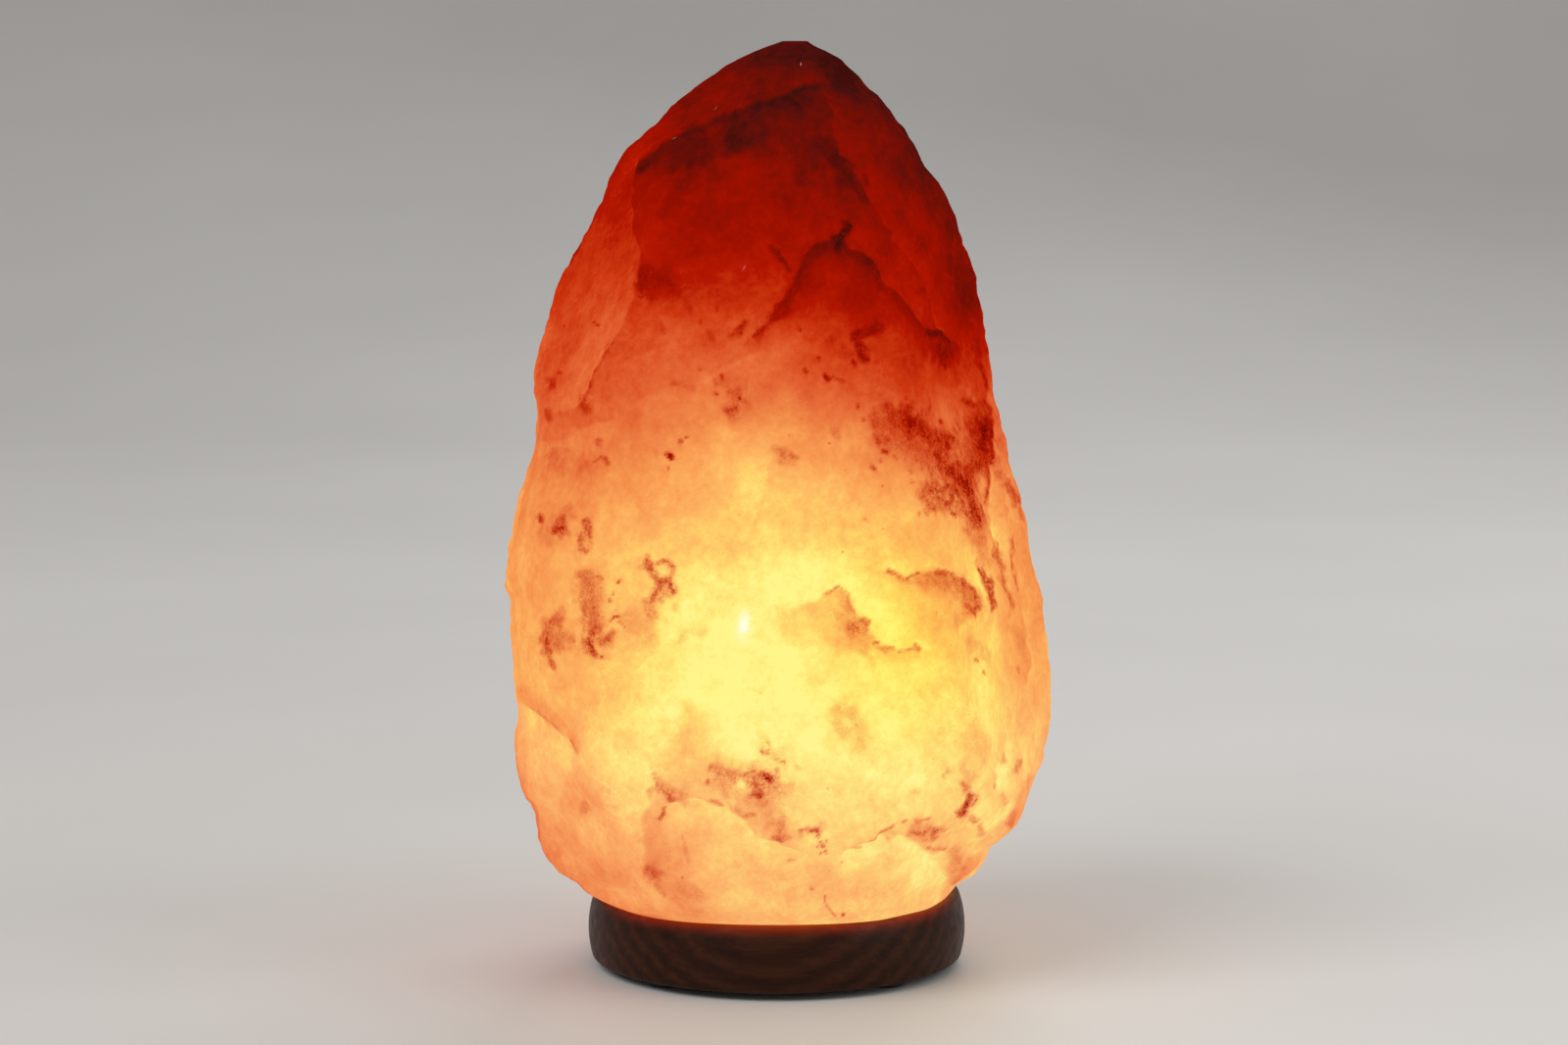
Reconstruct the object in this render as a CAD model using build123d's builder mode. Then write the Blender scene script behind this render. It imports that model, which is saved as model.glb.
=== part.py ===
from build123d import *
import os
from math import cos, sin, exp, log, pi, radians

# Table lamp made of one lump of rock-salt crystal on a turned wooden base.
# A clip-in E14 lampholder with a candle bulb goes up through the base into a
# cavity drilled in the crystal. Millimetres, +Z up, the origin on the table
# under the middle of the base, the front of the lamp towards -Y and the cord
# slot of the base towards +Y.

os.makedirs("parts", exist_ok=True)

# ---------------------------------------------------------------- dimensions
# feet
foot_d = 10.0
foot_h = 2.0
foot_ring_r = 40.0

# wooden base
base_z0 = foot_h
base_z1 = 19.5
base_r_bottom = 48.8
base_r_max = 50.0
base_r_top = 48.2
base_z_max = 8.5
base_edge = 1.4
bore_r = 21.0
recess_r = 32.0
recess_top = 8.0
slot_w = 9.0
slot_top = 9.0

# screws that hold the crystal on the base
screw_ring_r = 38.0
screw_angles = (270.0, 10.0, 170.0)
screw_head_r = 4.0
screw_shank_r = 2.0
screw_root_r = 1.35
screw_z0 = 2.8
screw_tip = 37.0
screw_thread_z0 = 20.6
screw_pitch = 1.8
pilot_r = 2.15
screw_hole_r = 2.3
sink_r = 4.4

# cavity in the crystal
cavity_r = 24.0
cavity_wall_top = 116.0
cavity_top = cavity_wall_top + cavity_r

# lampholder
cap_r = 15.5
cap_z0 = 5.0
cap_z1 = 20.0
cap_wall = 2.0
cord_hole_r = 4.5
sleeve_r = 14.0
sleeve_in_r = 12.5
sleeve_z0 = 14.0
sleeve_z1 = 52.0
sleeve_shoulder = 24.7
sleeve_bore_r = 9.6
collar_r = 16.2
collar_z0 = 20.8
collar_z1 = 22.6
core_r = 12.4
core_z0 = 18.0
core_z1 = 24.0
flange_r = 10.5
flange_t = 0.6
shell_r = 7.9
shell_in_r = 7.15
shell_z1 = 42.5
leaf_t = 0.5
leaf_w = 4.0
rivet_r = 0.85
rivet_hole_r = 0.9
live_rivet_y = 4.8
return_rivet_y = -9.0
block_x = 6.0
block_y = 6.0
block_z0 = 10.0
live_block_y = 6.0
return_block_y = -8.0
term_screw_r = 1.2

# spring clip that snaps the holder into the base
clip_t = 0.6
clip_w = 8.0
clip_ring_r = 17.4

# E14 thread
pitch = 2.822
cap_root_r = 6.2
cap_crest_r = 6.9
cap_in_r = 5.75
socket_crest_r = 6.45
thread_z0 = 31.2
thread_turns = 3.0

# bulb
tip_z = 26.0
insulator_z0 = 27.2
bulb_neck_r = 7.7
bulb_neck_z0 = 46.0
bulb_neck_z1 = 49.6
bulb_r = 17.5
bulb_top = 124.0
glass_t = 0.9
pinch_top = 68.0
wire_r = 0.35

# ------------------------------------------------------ outline of the crystal
# At each height: the reach to the left, right, front and back of the axis.
ROCK = [
    (19.5, -47.0, 46.0, -46.5, 46.5),
    (22.0, -53.4, 49.4, -52.0, 52.5),
    (26.5, -59.4, 54.2, -55.5, 55.5),
    (32.0, -63.0, 56.8, -58.0, 58.0),
    (37.0, -64.6, 62.3, -60.0, 60.0),
    (47.5, -68.0, 68.3, -62.5, 62.0),
    (58.0, -70.0, 71.3, -63.5, 63.5),
    (68.5, -69.4, 73.0, -64.2, 64.5),
    (79.0, -70.0, 73.0, -64.5, 65.0),
    (89.4, -70.5, 71.2, -64.5, 65.0),
    (99.9, -71.6, 69.6, -63.5, 64.5),
    (110.3, -71.5, 67.0, -62.0, 63.5),
    (120.6, -69.3, 65.2, -60.5, 62.0),
    (131.0, -66.0, 62.2, -58.5, 60.0),
    (141.3, -63.7, 59.8, -56.5, 57.5),
    (151.7, -63.9, 57.3, -54.0, 55.0),
    (162.0, -62.8, 55.9, -51.5, 52.0),
    (172.2, -60.2, 54.1, -48.5, 48.5),
    (182.5, -56.6, 51.7, -45.0, 45.0),
    (192.7, -51.0, 48.6, -41.0, 41.0),
    (202.9, -45.8, 44.6, -36.5, 36.0),
    (213.1, -40.3, 37.6, -30.5, 30.0),
    (223.2, -31.0, 31.2, -23.5, 23.5),
    (233.4, -18.4, 21.8, -14.5, 15.0),
    (238.4, -10.4, 16.0, -9.5, 10.0),
    (241.3, -2.6, 10.6, -5.0, 5.5),
    (243.0, 2.0, 8.6, -2.5, 3.0),
]
# Flat cleaved faces: direction of the normal (azimuth and rise in degrees),
# and distance from the origin.
FACES = [
    (-91.0, 6.0, 69.4),
    (-95.0, 20.0, 100.6),
    (-24.5, 10.0, 77.9),
    (-28.0, 13.9, 87.0),
    (-154.0, 22.5, 116.4),
    (-140.6, 45.1, 174.2),
    (-140.0, -25.0, 39.5),
    (-45.0, -35.0, 28.4),
    (60.0, 12.0, 84.5),
    (122.0, 4.0, 69.5),
    (97.0, 25.0, 113.0),
    (150.0, -14.0, 52.5),
    (28.0, -20.0, 47.0),
]
rock_power = 2.4
rock_blend = 1.1
rock_steps = 40


def rock_row(z):
    """Reach of the crystal to the four sides at height z, between the rows."""
    for lo, hi in zip(ROCK, ROCK[1:]):
        if z <= hi[0]:
            t = (z - lo[0]) / (hi[0] - lo[0])
            return [a + (b - a) * t for a, b in zip(lo[1:], hi[1:])]
    return list(ROCK[-1][1:])


def rock_point(angle, z):
    """Point of the crystal's skin at height z, in the direction angle."""
    xl, xr, yf, yb = rock_row(z)
    cx, cy = (xl + xr) / 2, (yf + yb) / 2
    a, b = (xr - xl) / 2, (yb - yf) / 2
    c, s = cos(angle), sin(angle)
    r = (abs(c / a) ** rock_power + abs(s / b) ** rock_power) ** (-1 / rock_power)
    for azimuth, rise, dist in FACES:
        n = (
            cos(radians(azimuth)) * cos(radians(rise)),
            sin(radians(azimuth)) * cos(radians(rise)),
            sin(radians(rise)),
        )
        along = n[0] * c + n[1] * s
        if along > 0.05:
            cut = (dist - n[0] * cx - n[1] * cy - n[2] * z) / along
            if cut < r + 12:
                m = min(r, cut)
                r = m - rock_blend * log(
                    exp(-(r - m) / rock_blend) + exp(-(cut - m) / rock_blend)
                )
    r = max(r, 1.5)
    return cx + r * c, cy + r * s


# ------------------------------------------------------------------ the base
with BuildPart() as rubber_feet:
    with BuildSketch(Plane.XY):
        with PolarLocations(foot_ring_r, 4, start_angle=45):
            Circle(foot_d / 2)
    extrude(amount=foot_h)
    chamfer(rubber_feet.edges().group_by(Axis.Z)[0], 0.5)

with BuildPart() as wood_base:
    with BuildSketch(Plane.XZ):
        with BuildLine():
            Polyline(
                (base_r_top, base_z1),
                (bore_r, base_z1),
                (bore_r, recess_top),
                (recess_r, recess_top),
                (recess_r, base_z0),
                (base_r_bottom, base_z0),
            )
            ThreePointArc(
                (base_r_bottom, base_z0),
                (base_r_max, base_z_max),
                (base_r_top, base_z1),
            )
        make_face()
    revolve(axis=Axis.Z)
    # the turned edges are rounded over
    rims = [
        e
        for e in wood_base.edges().filter_by(GeomType.CIRCLE)
        if e.radius > recess_r + 5
        and (abs(e.center().Z - base_z0) < 0.1 or abs(e.center().Z - base_z1) < 0.1)
    ]
    fillet(rims, base_edge)
    # groove for the mains cord, out through the back
    with BuildSketch(Plane.XY.offset(base_z0)):
        with Locations((0, (recess_r + base_r_max) / 2)):
            Rectangle(slot_w, base_r_max - recess_r + 8)
    extrude(amount=slot_top - base_z0, mode=Mode.SUBTRACT)
    # countersunk holes for the crystal screws, from below
    for angle in screw_angles:
        with Locations(
            Plane(
                origin=(
                    screw_ring_r * cos(radians(angle)),
                    screw_ring_r * sin(radians(angle)),
                    base_z0,
                ),
                x_dir=(1, 0, 0),
                z_dir=(0, 0, -1),
            )
        ):
            CounterSinkHole(
                radius=screw_hole_r,
                counter_sink_radius=sink_r + 0.75,
                depth=base_z1 - base_z0 + 1,
                counter_sink_angle=90,
            )

# --------------------------------------------------------------- the crystal
with BuildPart() as salt_crystal:
    for row in ROCK:
        with BuildSketch(Plane.XY.offset(row[0])):
            with BuildLine():
                Polyline(
                    *[
                        rock_point(2 * pi * (k + 0.5) / rock_steps, row[0])
                        for k in range(rock_steps)
                    ],
                    close=True,
                )
            make_face()
    loft(ruled=True)
    # drilled cavity for the bulb, with a domed end
    with BuildSketch(Plane.XZ):
        with BuildLine():
            Polyline(
                (0, cavity_top),
                (0, base_z1 - 1),
                (cavity_r, base_z1 - 1),
                (cavity_r, cavity_wall_top),
            )
            ThreePointArc(
                (cavity_r, cavity_wall_top),
                (
                    cavity_r * cos(radians(45)),
                    cavity_wall_top + cavity_r * sin(radians(45)),
                ),
                (0, cavity_top),
            )
        make_face()
    revolve(axis=Axis.Z, mode=Mode.SUBTRACT)
    # pilot holes for the screws
    for angle in screw_angles:
        with Locations(
            Plane(
                origin=(
                    screw_ring_r * cos(radians(angle)),
                    screw_ring_r * sin(radians(angle)),
                    base_z1,
                ),
                x_dir=(1, 0, 0),
                z_dir=(0, 0, -1),
            )
        ):
            Hole(radius=pilot_r, depth=screw_tip - base_z1 + 1.5)

with BuildPart() as one_screw:
    with BuildSketch(Plane.XZ):
        with BuildLine():
            thread = []
            z = screw_thread_z0
            while z < screw_tip - 5.5:
                thread += [
                    (screw_root_r, z),
                    (screw_shank_r, z + screw_pitch * 0.45),
                    (screw_shank_r, z + screw_pitch * 0.55),
                    (screw_root_r, z + screw_pitch * 0.95),
                ]
                z += screw_pitch
            Polyline(
                (0, screw_z0),
                (screw_head_r, screw_z0),
                (screw_head_r, screw_z0 + 0.35),
                (screw_shank_r, screw_z0 + 0.35 + screw_head_r - screw_shank_r),
                (screw_shank_r, screw_thread_z0 - 0.6),
                *thread,
                (screw_root_r, screw_tip - 4),
                (0, screw_tip),
                close=True,
            )
        make_face()
    revolve(axis=Axis.Z)
    # cross recess in the head
    with BuildSketch(Plane.XY.offset(screw_z0)):
        Rectangle(4.4, 0.9)
        Rectangle(0.9, 4.4)
    extrude(amount=1.6, taper=14, mode=Mode.SUBTRACT)

with BuildPart() as crystal_screws:
    for angle in screw_angles:
        with Locations(
            (
                screw_ring_r * cos(radians(angle)),
                screw_ring_r * sin(radians(angle)),
                0,
            )
        ):
            add(one_screw.part)

# ------------------------------------------------------------ the lampholder
with BuildPart() as holder_cap:
    with BuildSketch(Plane.XZ):
        with BuildLine():
            Polyline(
                (cord_hole_r, cap_z0),
                (cap_r - 4.0, cap_z0),
                (cap_r - 1.0, cap_z0 + 2.2),
                (cap_r, cap_z0 + 6.0),
                (cap_r, cap_z1),
                (sleeve_r + 0.08, cap_z1),
                (sleeve_r + 0.08, sleeve_z0),
                (sleeve_in_r, sleeve_z0),
                (sleeve_in_r, cap_z0 + 5.0),
                (cap_r - 5.0, cap_z0 + cap_wall),
                (cord_hole_r, cap_z0 + cap_wall),
                close=True,
            )
        make_face()
    revolve(axis=Axis.Z)
    # grip flutes round the skirt
    with BuildSketch(Plane.XY.offset(cap_z0 + 6.5)):
        with PolarLocations(cap_r + 0.35, 24):
            Circle(0.8)
    extrude(amount=cap_z1 - cap_z0 - 8.5, mode=Mode.SUBTRACT)
    fillet(
        holder_cap.edges()
        .filter_by(GeomType.CIRCLE)
        .filter_by(lambda e: abs(e.radius - cord_hole_r) < 0.01),
        0.6,
    )

with BuildPart() as holder_sleeve:
    with BuildSketch(Plane.XZ):
        with BuildLine():
            Polyline(
                (sleeve_in_r, sleeve_z0),
                (sleeve_r, sleeve_z0),
                (sleeve_r, collar_z0),
                (collar_r, collar_z0),
                (collar_r, collar_z1),
                (sleeve_r, collar_z1 + 0.8),
                (sleeve_r, 46.0),
                (sleeve_r - 0.8, 46.6),
                (sleeve_r - 0.8, 48.0),
                (sleeve_r, 48.6),
                (sleeve_r, sleeve_z1 - 1.0),
                (sleeve_r - 1.0, sleeve_z1),
                (sleeve_bore_r + 0.6, sleeve_z1),
                (sleeve_bore_r, sleeve_z1 - 0.6),
                (sleeve_bore_r, sleeve_shoulder),
                (sleeve_in_r, sleeve_shoulder),
                close=True,
            )
        make_face()
    revolve(axis=Axis.Z)
    # cooling ribs between the collar and the top groove
    with BuildSketch(Plane.XY.offset(26.0)):
        with PolarLocations(sleeve_r + 0.45, 20):
            Circle(1.0)
    extrude(amount=17.0, mode=Mode.SUBTRACT)

with BuildPart() as holder_core:
    with BuildSketch(Plane.XY.offset(core_z0)):
        Circle(core_r)
        with Locations((0, live_rivet_y), (0, return_rivet_y)):
            Circle(rivet_hole_r, mode=Mode.SUBTRACT)
    extrude(amount=core_z1 - core_z0)
    chamfer(holder_core.faces().sort_by(Axis.Z)[0].outer_wire().edges(), 0.6)

with BuildPart() as centre_contact:
    with BuildSketch(Plane.YZ):
        with BuildLine():
            Polyline(
                (6.6, core_z1),
                (6.6, core_z1 + leaf_t),
                (2.4, core_z1 + leaf_t),
                (-0.8, tip_z - 0.05),
                (-2.4, tip_z - 0.05),
                (-3.4, tip_z - 0.55),
                (-3.4, tip_z - 1.05),
                (-2.4, tip_z - 0.05 - leaf_t),
                (-0.8, tip_z - 0.05 - leaf_t),
                (2.4, core_z1),
                close=True,
            )
        make_face()
    extrude(amount=leaf_w / 2, both=True)
    with Locations((0, live_rivet_y, core_z1 + leaf_t)):
        Hole(radius=rivet_hole_r, depth=leaf_t + 1)

with BuildPart() as screw_shell:
    with BuildSketch(Plane.XZ):
        with BuildLine():
            Polyline(
                (shell_in_r, core_z1),
                (flange_r, core_z1),
                (flange_r, core_z1 + flange_t),
                (shell_r, core_z1 + flange_t),
                (shell_r, shell_z1 - 0.7),
                (shell_r + 0.55, shell_z1),
                (shell_in_r + 0.5, shell_z1),
                (shell_in_r, shell_z1 - 0.6),
                close=True,
            )
        make_face()
    revolve(axis=Axis.Z)
    with Locations((0, return_rivet_y, core_z1 + flange_t)):
        Hole(radius=rivet_hole_r, depth=flange_t + 1)
    # rolled thread standing in from the wall
    with BuildLine() as socket_path:
        socket_helix = Helix(
            pitch=pitch,
            height=pitch * 4.5,
            radius=shell_in_r,
            center=(0, 0, thread_z0 - pitch * 1.5),
        )
    with BuildSketch(
        Plane(origin=socket_helix @ 0, x_dir=(1, 0, 0), z_dir=socket_helix % 0)
    ):
        with BuildLine():
            Polyline(
                (0.25, -0.95),
                (socket_crest_r - shell_in_r, -0.45),
                (socket_crest_r - shell_in_r, 0.45),
                (0.25, 0.95),
                close=True,
            )
        make_face()
    sweep(path=socket_path.line, is_frenet=True)

with BuildPart() as contact_rivets:
    for y, top, bottom in (
        (live_rivet_y, core_z1 + leaf_t, core_z0 - 2.0),
        (return_rivet_y, core_z1 + flange_t, core_z0 - 2.0),
    ):
        with BuildSketch(Plane.XY.offset(bottom)):
            with Locations((0, y)):
                Circle(rivet_r)
        extrude(amount=top - bottom)
    with BuildSketch(Plane.XY.offset(core_z1 + leaf_t)):
        with Locations((0, live_rivet_y)):
            Circle(1.45)
    extrude(amount=0.55, taper=12)
    # the return rivet is peened flush under the sleeve's shoulder
    with BuildSketch(Plane.XY.offset(core_z1 + flange_t - 0.02)):
        with Locations((0, return_rivet_y)):
            Circle(rivet_r)
    extrude(amount=0.05)

with BuildPart() as terminal_blocks:
    for y, side in ((live_block_y, 1), (return_block_y, -1)):
        with BuildSketch(Plane.XY.offset(block_z0)):
            with Locations((0, y)):
                RectangleRounded(block_x, block_y, 0.5)
        extrude(amount=core_z0 - block_z0)
        # seat of the rivet, from above
        rivet_y = live_rivet_y if side > 0 else return_rivet_y
        with BuildSketch(Plane.XY.offset(core_z0)):
            with Locations((0, rivet_y)):
                Circle(rivet_hole_r)
        extrude(amount=-2.3, mode=Mode.SUBTRACT)
        # entry for the wire, from below
        with BuildSketch(Plane.XY.offset(block_z0)):
            with Locations((0, y)):
                Circle(1.4)
        extrude(amount=5.0, mode=Mode.SUBTRACT)
        # tapped hole of the clamping screw
        with BuildSketch(
            Plane(
                origin=(0, y + side * block_y / 2, block_z0 + 2.6),
                x_dir=(1, 0, 0),
                z_dir=(0, side, 0),
            )
        ):
            Circle(term_screw_r + 0.05)
        extrude(amount=-2.6, mode=Mode.SUBTRACT)

with BuildPart() as terminal_screws:
    for y, side in ((live_block_y, 1), (return_block_y, -1)):
        face_y = y + side * block_y / 2
        with BuildSketch(
            Plane(
                origin=(0, face_y - side * 1.9, block_z0 + 2.6),
                x_dir=(1, 0, 0),
                z_dir=(0, side, 0),
            )
        ):
            Circle(term_screw_r)
        extrude(amount=1.9)
        with BuildSketch(
            Plane(
                origin=(0, face_y, block_z0 + 2.6),
                x_dir=(1, 0, 0),
                z_dir=(0, side, 0),
            )
        ):
            Circle(2.0)
            Rectangle(4.4, 0.5, mode=Mode.SUBTRACT)
        extrude(amount=0.9)
        with BuildSketch(
            Plane(
                origin=(0, face_y, block_z0 + 2.6),
                x_dir=(1, 0, 0),
                z_dir=(0, side, 0),
            )
        ):
            Circle(2.0)
        extrude(amount=0.35)

with BuildPart() as holder_clip:
    # ring clamped between the cap and the collar of the sleeve
    with BuildSketch(Plane.XY.offset(cap_z1)):
        Circle(clip_ring_r)
        Circle(sleeve_r + 0.08, mode=Mode.SUBTRACT)
    extrude(amount=collar_z0 - cap_z1)
    # two sprung wings, left and right, with turned-out finger tabs below
    for side in (1, -1):
        with BuildSketch(Plane.XZ):
            with BuildLine():
                FilletPolyline(
                    (side * 16.6, cap_z1 + clip_t / 2),
                    (side * 18.9, cap_z1 + clip_t / 2),
                    (side * 20.0, 16.5),
                    (side * 20.0, 12.5),
                    (side * 18.6, 8.6),
                    (side * 19.6, 6.9),
                    (side * 25.6, 6.9),
                    radius=0.7,
                )
            trace(line_width=clip_t)
        extrude(amount=clip_w / 2, both=True)

# ------------------------------------------------------------------ the bulb
with BuildPart() as bulb_contact:
    with BuildSketch(Plane.XZ):
        with BuildLine():
            Polyline((0, insulator_z0), (0, tip_z))
            ThreePointArc((0, tip_z), (1.7, tip_z + 0.45), (2.4, insulator_z0))
            Line((2.4, insulator_z0), (0, insulator_z0))
        make_face()
    revolve(axis=Axis.Z)

with BuildPart() as bulb_insulator:
    with BuildSketch(Plane.XZ):
        with BuildLine():
            Polyline(
                (0, insulator_z0),
                (3.6, insulator_z0),
                (5.6, 29.2),
                (cap_in_r - 0.05, 29.6),
                (cap_in_r - 0.05, 31.0),
                (0, 31.0),
                close=True,
            )
        make_face()
    revolve(axis=Axis.Z)

with BuildPart() as bulb_cap:
    with BuildSketch(Plane.XZ):
        with BuildLine():
            Polyline(
                (cap_in_r, 29.5),
                (cap_root_r, 29.5),
                (cap_root_r, 43.2),
                (8.3, 45.5),
                (8.3, bulb_neck_z1 - 0.4),
                (7.85, bulb_neck_z1 - 0.4),
                (7.85, 45.7),
                (cap_in_r, 43.5),
                close=True,
            )
        make_face()
    revolve(axis=Axis.Z)
    # rolled thread
    with BuildLine() as bulb_path:
        bulb_helix = Helix(
            pitch=pitch,
            height=pitch * thread_turns,
            radius=cap_root_r,
            center=(0, 0, thread_z0),
        )
    with BuildSketch(
        Plane(origin=bulb_helix @ 0, x_dir=(1, 0, 0), z_dir=bulb_helix % 0)
    ):
        with BuildLine():
            Polyline(
                (-0.25, -0.95),
                (cap_crest_r - cap_root_r, -0.45),
                (cap_crest_r - cap_root_r, 0.45),
                (-0.25, 0.95),
                close=True,
            )
        make_face()
    sweep(path=bulb_path.line, is_frenet=True)

bulb_outer = [
    (8.5, 53.2),
    (12.0, 60.6),
    (15.9, 70.0),
    (bulb_r, 79.5),
    (16.3, 91.5),
    (12.1, 105.0),
    (6.9, 115.6),
    (3.6, 120.9),
]
with BuildPart() as bulb_glass:
    with BuildSketch(Plane.XZ):
        with BuildLine():
            Spline(
                (bulb_neck_r, bulb_neck_z1),
                *bulb_outer,
                (0, bulb_top),
                tangents=[(0, 1), (-1, 0)],
                tangent_scalars=[1, 1],
            )
            Line((0, bulb_top), (0, bulb_top - glass_t * 1.3))
            Spline(
                (0, bulb_top - glass_t * 1.3),
                *[(r - glass_t, z - 0.25) for r, z in reversed(bulb_outer)],
                (bulb_neck_r - glass_t, bulb_neck_z1),
                tangents=[(1, 0), (0, -1)],
                tangent_scalars=[1, 1],
            )
            Polyline(
                (bulb_neck_r - glass_t, bulb_neck_z1),
                (bulb_neck_r - glass_t, bulb_neck_z0),
                (bulb_neck_r, bulb_neck_z0),
                (bulb_neck_r, bulb_neck_z1),
            )
        make_face()
    revolve(axis=Axis.Z)

with BuildPart() as bulb_stem:
    # flared glass foot closing the neck, with the pinch that holds the wires
    with BuildSketch(Plane.XZ):
        with BuildLine():
            Polyline(
                (0, bulb_neck_z0 + 0.2),
                (bulb_neck_r - glass_t - 0.08, bulb_neck_z0 + 0.2),
                (bulb_neck_r - glass_t - 0.08, bulb_neck_z0 + 1.2),
                (4.2, bulb_neck_z0 + 3.5),
                (2.9, bulb_neck_z0 + 7.0),
                (2.6, 62.0),
                (0, 62.0),
                close=True,
            )
        make_face()
    revolve(axis=Axis.Z)
    with BuildSketch(Plane.XY.offset(60.5)):
        RectangleRounded(7.0, 3.0, 1.0)
    extrude(amount=pinch_top - 60.5)

with BuildPart() as bulb_lead_wires:
    for side in (1, -1):
        with BuildLine() as wire_path:
            FilletPolyline(
                (side * 2.4, 0, pinch_top),
                (side * 2.4, 0, 72.5),
                (side * 8.6, 0, 84.0),
                (side * 8.6, 0, 88.0),
                radius=3.0,
            )
        with BuildSketch(Plane(origin=(side * 2.4, 0, pinch_top), z_dir=(0, 0, 1))):
            Circle(wire_r)
        sweep(path=wire_path.line)

with BuildPart() as bulb_support_wire:
    with BuildSketch(Plane.XY.offset(pinch_top)):
        Circle(0.25)
    extrude(amount=94.2 - pinch_top)

with BuildPart() as bulb_filament:
    with BuildLine() as coil_path:
        FilletPolyline(
            (-8.6, 0, 88.0),
            (-8.4, 0, 89.4),
            (0, 0, 94.9),
            (8.4, 0, 89.4),
            (8.6, 0, 88.0),
            radius=0.8,
        )
    with BuildSketch(
        Plane(origin=coil_path.line @ 0, z_dir=coil_path.line % 0)
    ):
        Circle(0.5)
    sweep(path=coil_path.line)

# -------------------------------------------------------------------- output
rubber_feet.part.label = "rubber_feet"
export_step(rubber_feet.part, "parts/rubber_feet.step")
wood_base.part.label = "wood_base"
export_step(wood_base.part, "parts/wood_base.step")
salt_crystal.part.label = "salt_crystal"
export_step(salt_crystal.part, "parts/salt_crystal.step")
crystal_screws.part.label = "crystal_screws"
export_step(crystal_screws.part, "parts/crystal_screws.step")
holder_cap.part.label = "holder_cap"
export_step(holder_cap.part, "parts/holder_cap.step")
holder_sleeve.part.label = "holder_sleeve"
export_step(holder_sleeve.part, "parts/holder_sleeve.step")
holder_core.part.label = "holder_core"
export_step(holder_core.part, "parts/holder_core.step")
centre_contact.part.label = "centre_contact"
export_step(centre_contact.part, "parts/centre_contact.step")
screw_shell.part.label = "screw_shell"
export_step(screw_shell.part, "parts/screw_shell.step")
contact_rivets.part.label = "contact_rivets"
export_step(contact_rivets.part, "parts/contact_rivets.step")
terminal_blocks.part.label = "terminal_blocks"
export_step(terminal_blocks.part, "parts/terminal_blocks.step")
terminal_screws.part.label = "terminal_screws"
export_step(terminal_screws.part, "parts/terminal_screws.step")
holder_clip.part.label = "holder_clip"
export_step(holder_clip.part, "parts/holder_clip.step")
bulb_contact.part.label = "bulb_contact"
export_step(bulb_contact.part, "parts/bulb_contact.step")
bulb_insulator.part.label = "bulb_insulator"
export_step(bulb_insulator.part, "parts/bulb_insulator.step")
bulb_cap.part.label = "bulb_cap"
export_step(bulb_cap.part, "parts/bulb_cap.step")
bulb_glass.part.label = "bulb_glass"
export_step(bulb_glass.part, "parts/bulb_glass.step")
bulb_stem.part.label = "bulb_stem"
export_step(bulb_stem.part, "parts/bulb_stem.step")
bulb_lead_wires.part.label = "bulb_lead_wires"
export_step(bulb_lead_wires.part, "parts/bulb_lead_wires.step")
bulb_support_wire.part.label = "bulb_support_wire"
export_step(bulb_support_wire.part, "parts/bulb_support_wire.step")
bulb_filament.part.label = "bulb_filament"
export_step(bulb_filament.part, "parts/bulb_filament.step")
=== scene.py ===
import bpy
import math
import numpy as np
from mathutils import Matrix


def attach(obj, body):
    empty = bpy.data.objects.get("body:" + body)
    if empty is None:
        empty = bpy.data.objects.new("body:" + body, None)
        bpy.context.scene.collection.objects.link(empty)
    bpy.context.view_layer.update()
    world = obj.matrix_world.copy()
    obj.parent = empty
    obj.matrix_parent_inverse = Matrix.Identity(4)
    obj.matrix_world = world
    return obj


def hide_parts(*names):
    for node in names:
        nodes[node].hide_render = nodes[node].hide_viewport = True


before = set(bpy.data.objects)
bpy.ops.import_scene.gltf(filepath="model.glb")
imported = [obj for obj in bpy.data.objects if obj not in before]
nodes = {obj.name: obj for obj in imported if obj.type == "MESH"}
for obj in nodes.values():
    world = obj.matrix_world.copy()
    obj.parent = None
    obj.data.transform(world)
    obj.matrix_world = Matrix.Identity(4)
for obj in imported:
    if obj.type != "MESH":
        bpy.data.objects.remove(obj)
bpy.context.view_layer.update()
scene = bpy.context.scene

# ------------------------------------------------------------------- camera
LENS_MM = 85.0
SENSOR_MM = 36.0
EYE = np.array([1.96, -970.0, 217.0])          # millimetres
TILT = math.radians(5.87)                      # looking a little down
FOCAL = LENS_MM / SENSOR_MM * 1600             # in pixels of a 1600 x 1066 frame

cam_data = bpy.data.cameras.new("camera")
cam_data.lens = LENS_MM
cam_data.sensor_width = SENSOR_MM
cam_data.sensor_fit = "HORIZONTAL"
cam_data.clip_start = 0.01
cam_data.clip_end = 30
cam = bpy.data.objects.new("camera", cam_data)
cam.location = EYE / 1000
cam.rotation_euler = (math.radians(90) - TILT, 0, 0)
scene.collection.objects.link(cam)
scene.camera = cam


def to_frame(p, turn=0.0):
    """Pixel of a 1600 x 1066 frame where a point in millimetres is seen, with
    the lamp turned about its axis by an angle first."""
    c, s = math.cos(turn), math.sin(turn)
    x = c * p[..., 0] - s * p[..., 1] - EYE[0]
    y = s * p[..., 0] + c * p[..., 1] - EYE[1]
    z = p[..., 2] - EYE[2]
    depth = y * math.cos(TILT) - z * math.sin(TILT)
    up = y * math.sin(TILT) + z * math.cos(TILT)
    return 800 + FOCAL * x / depth, 533 - FOCAL * up / depth


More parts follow.
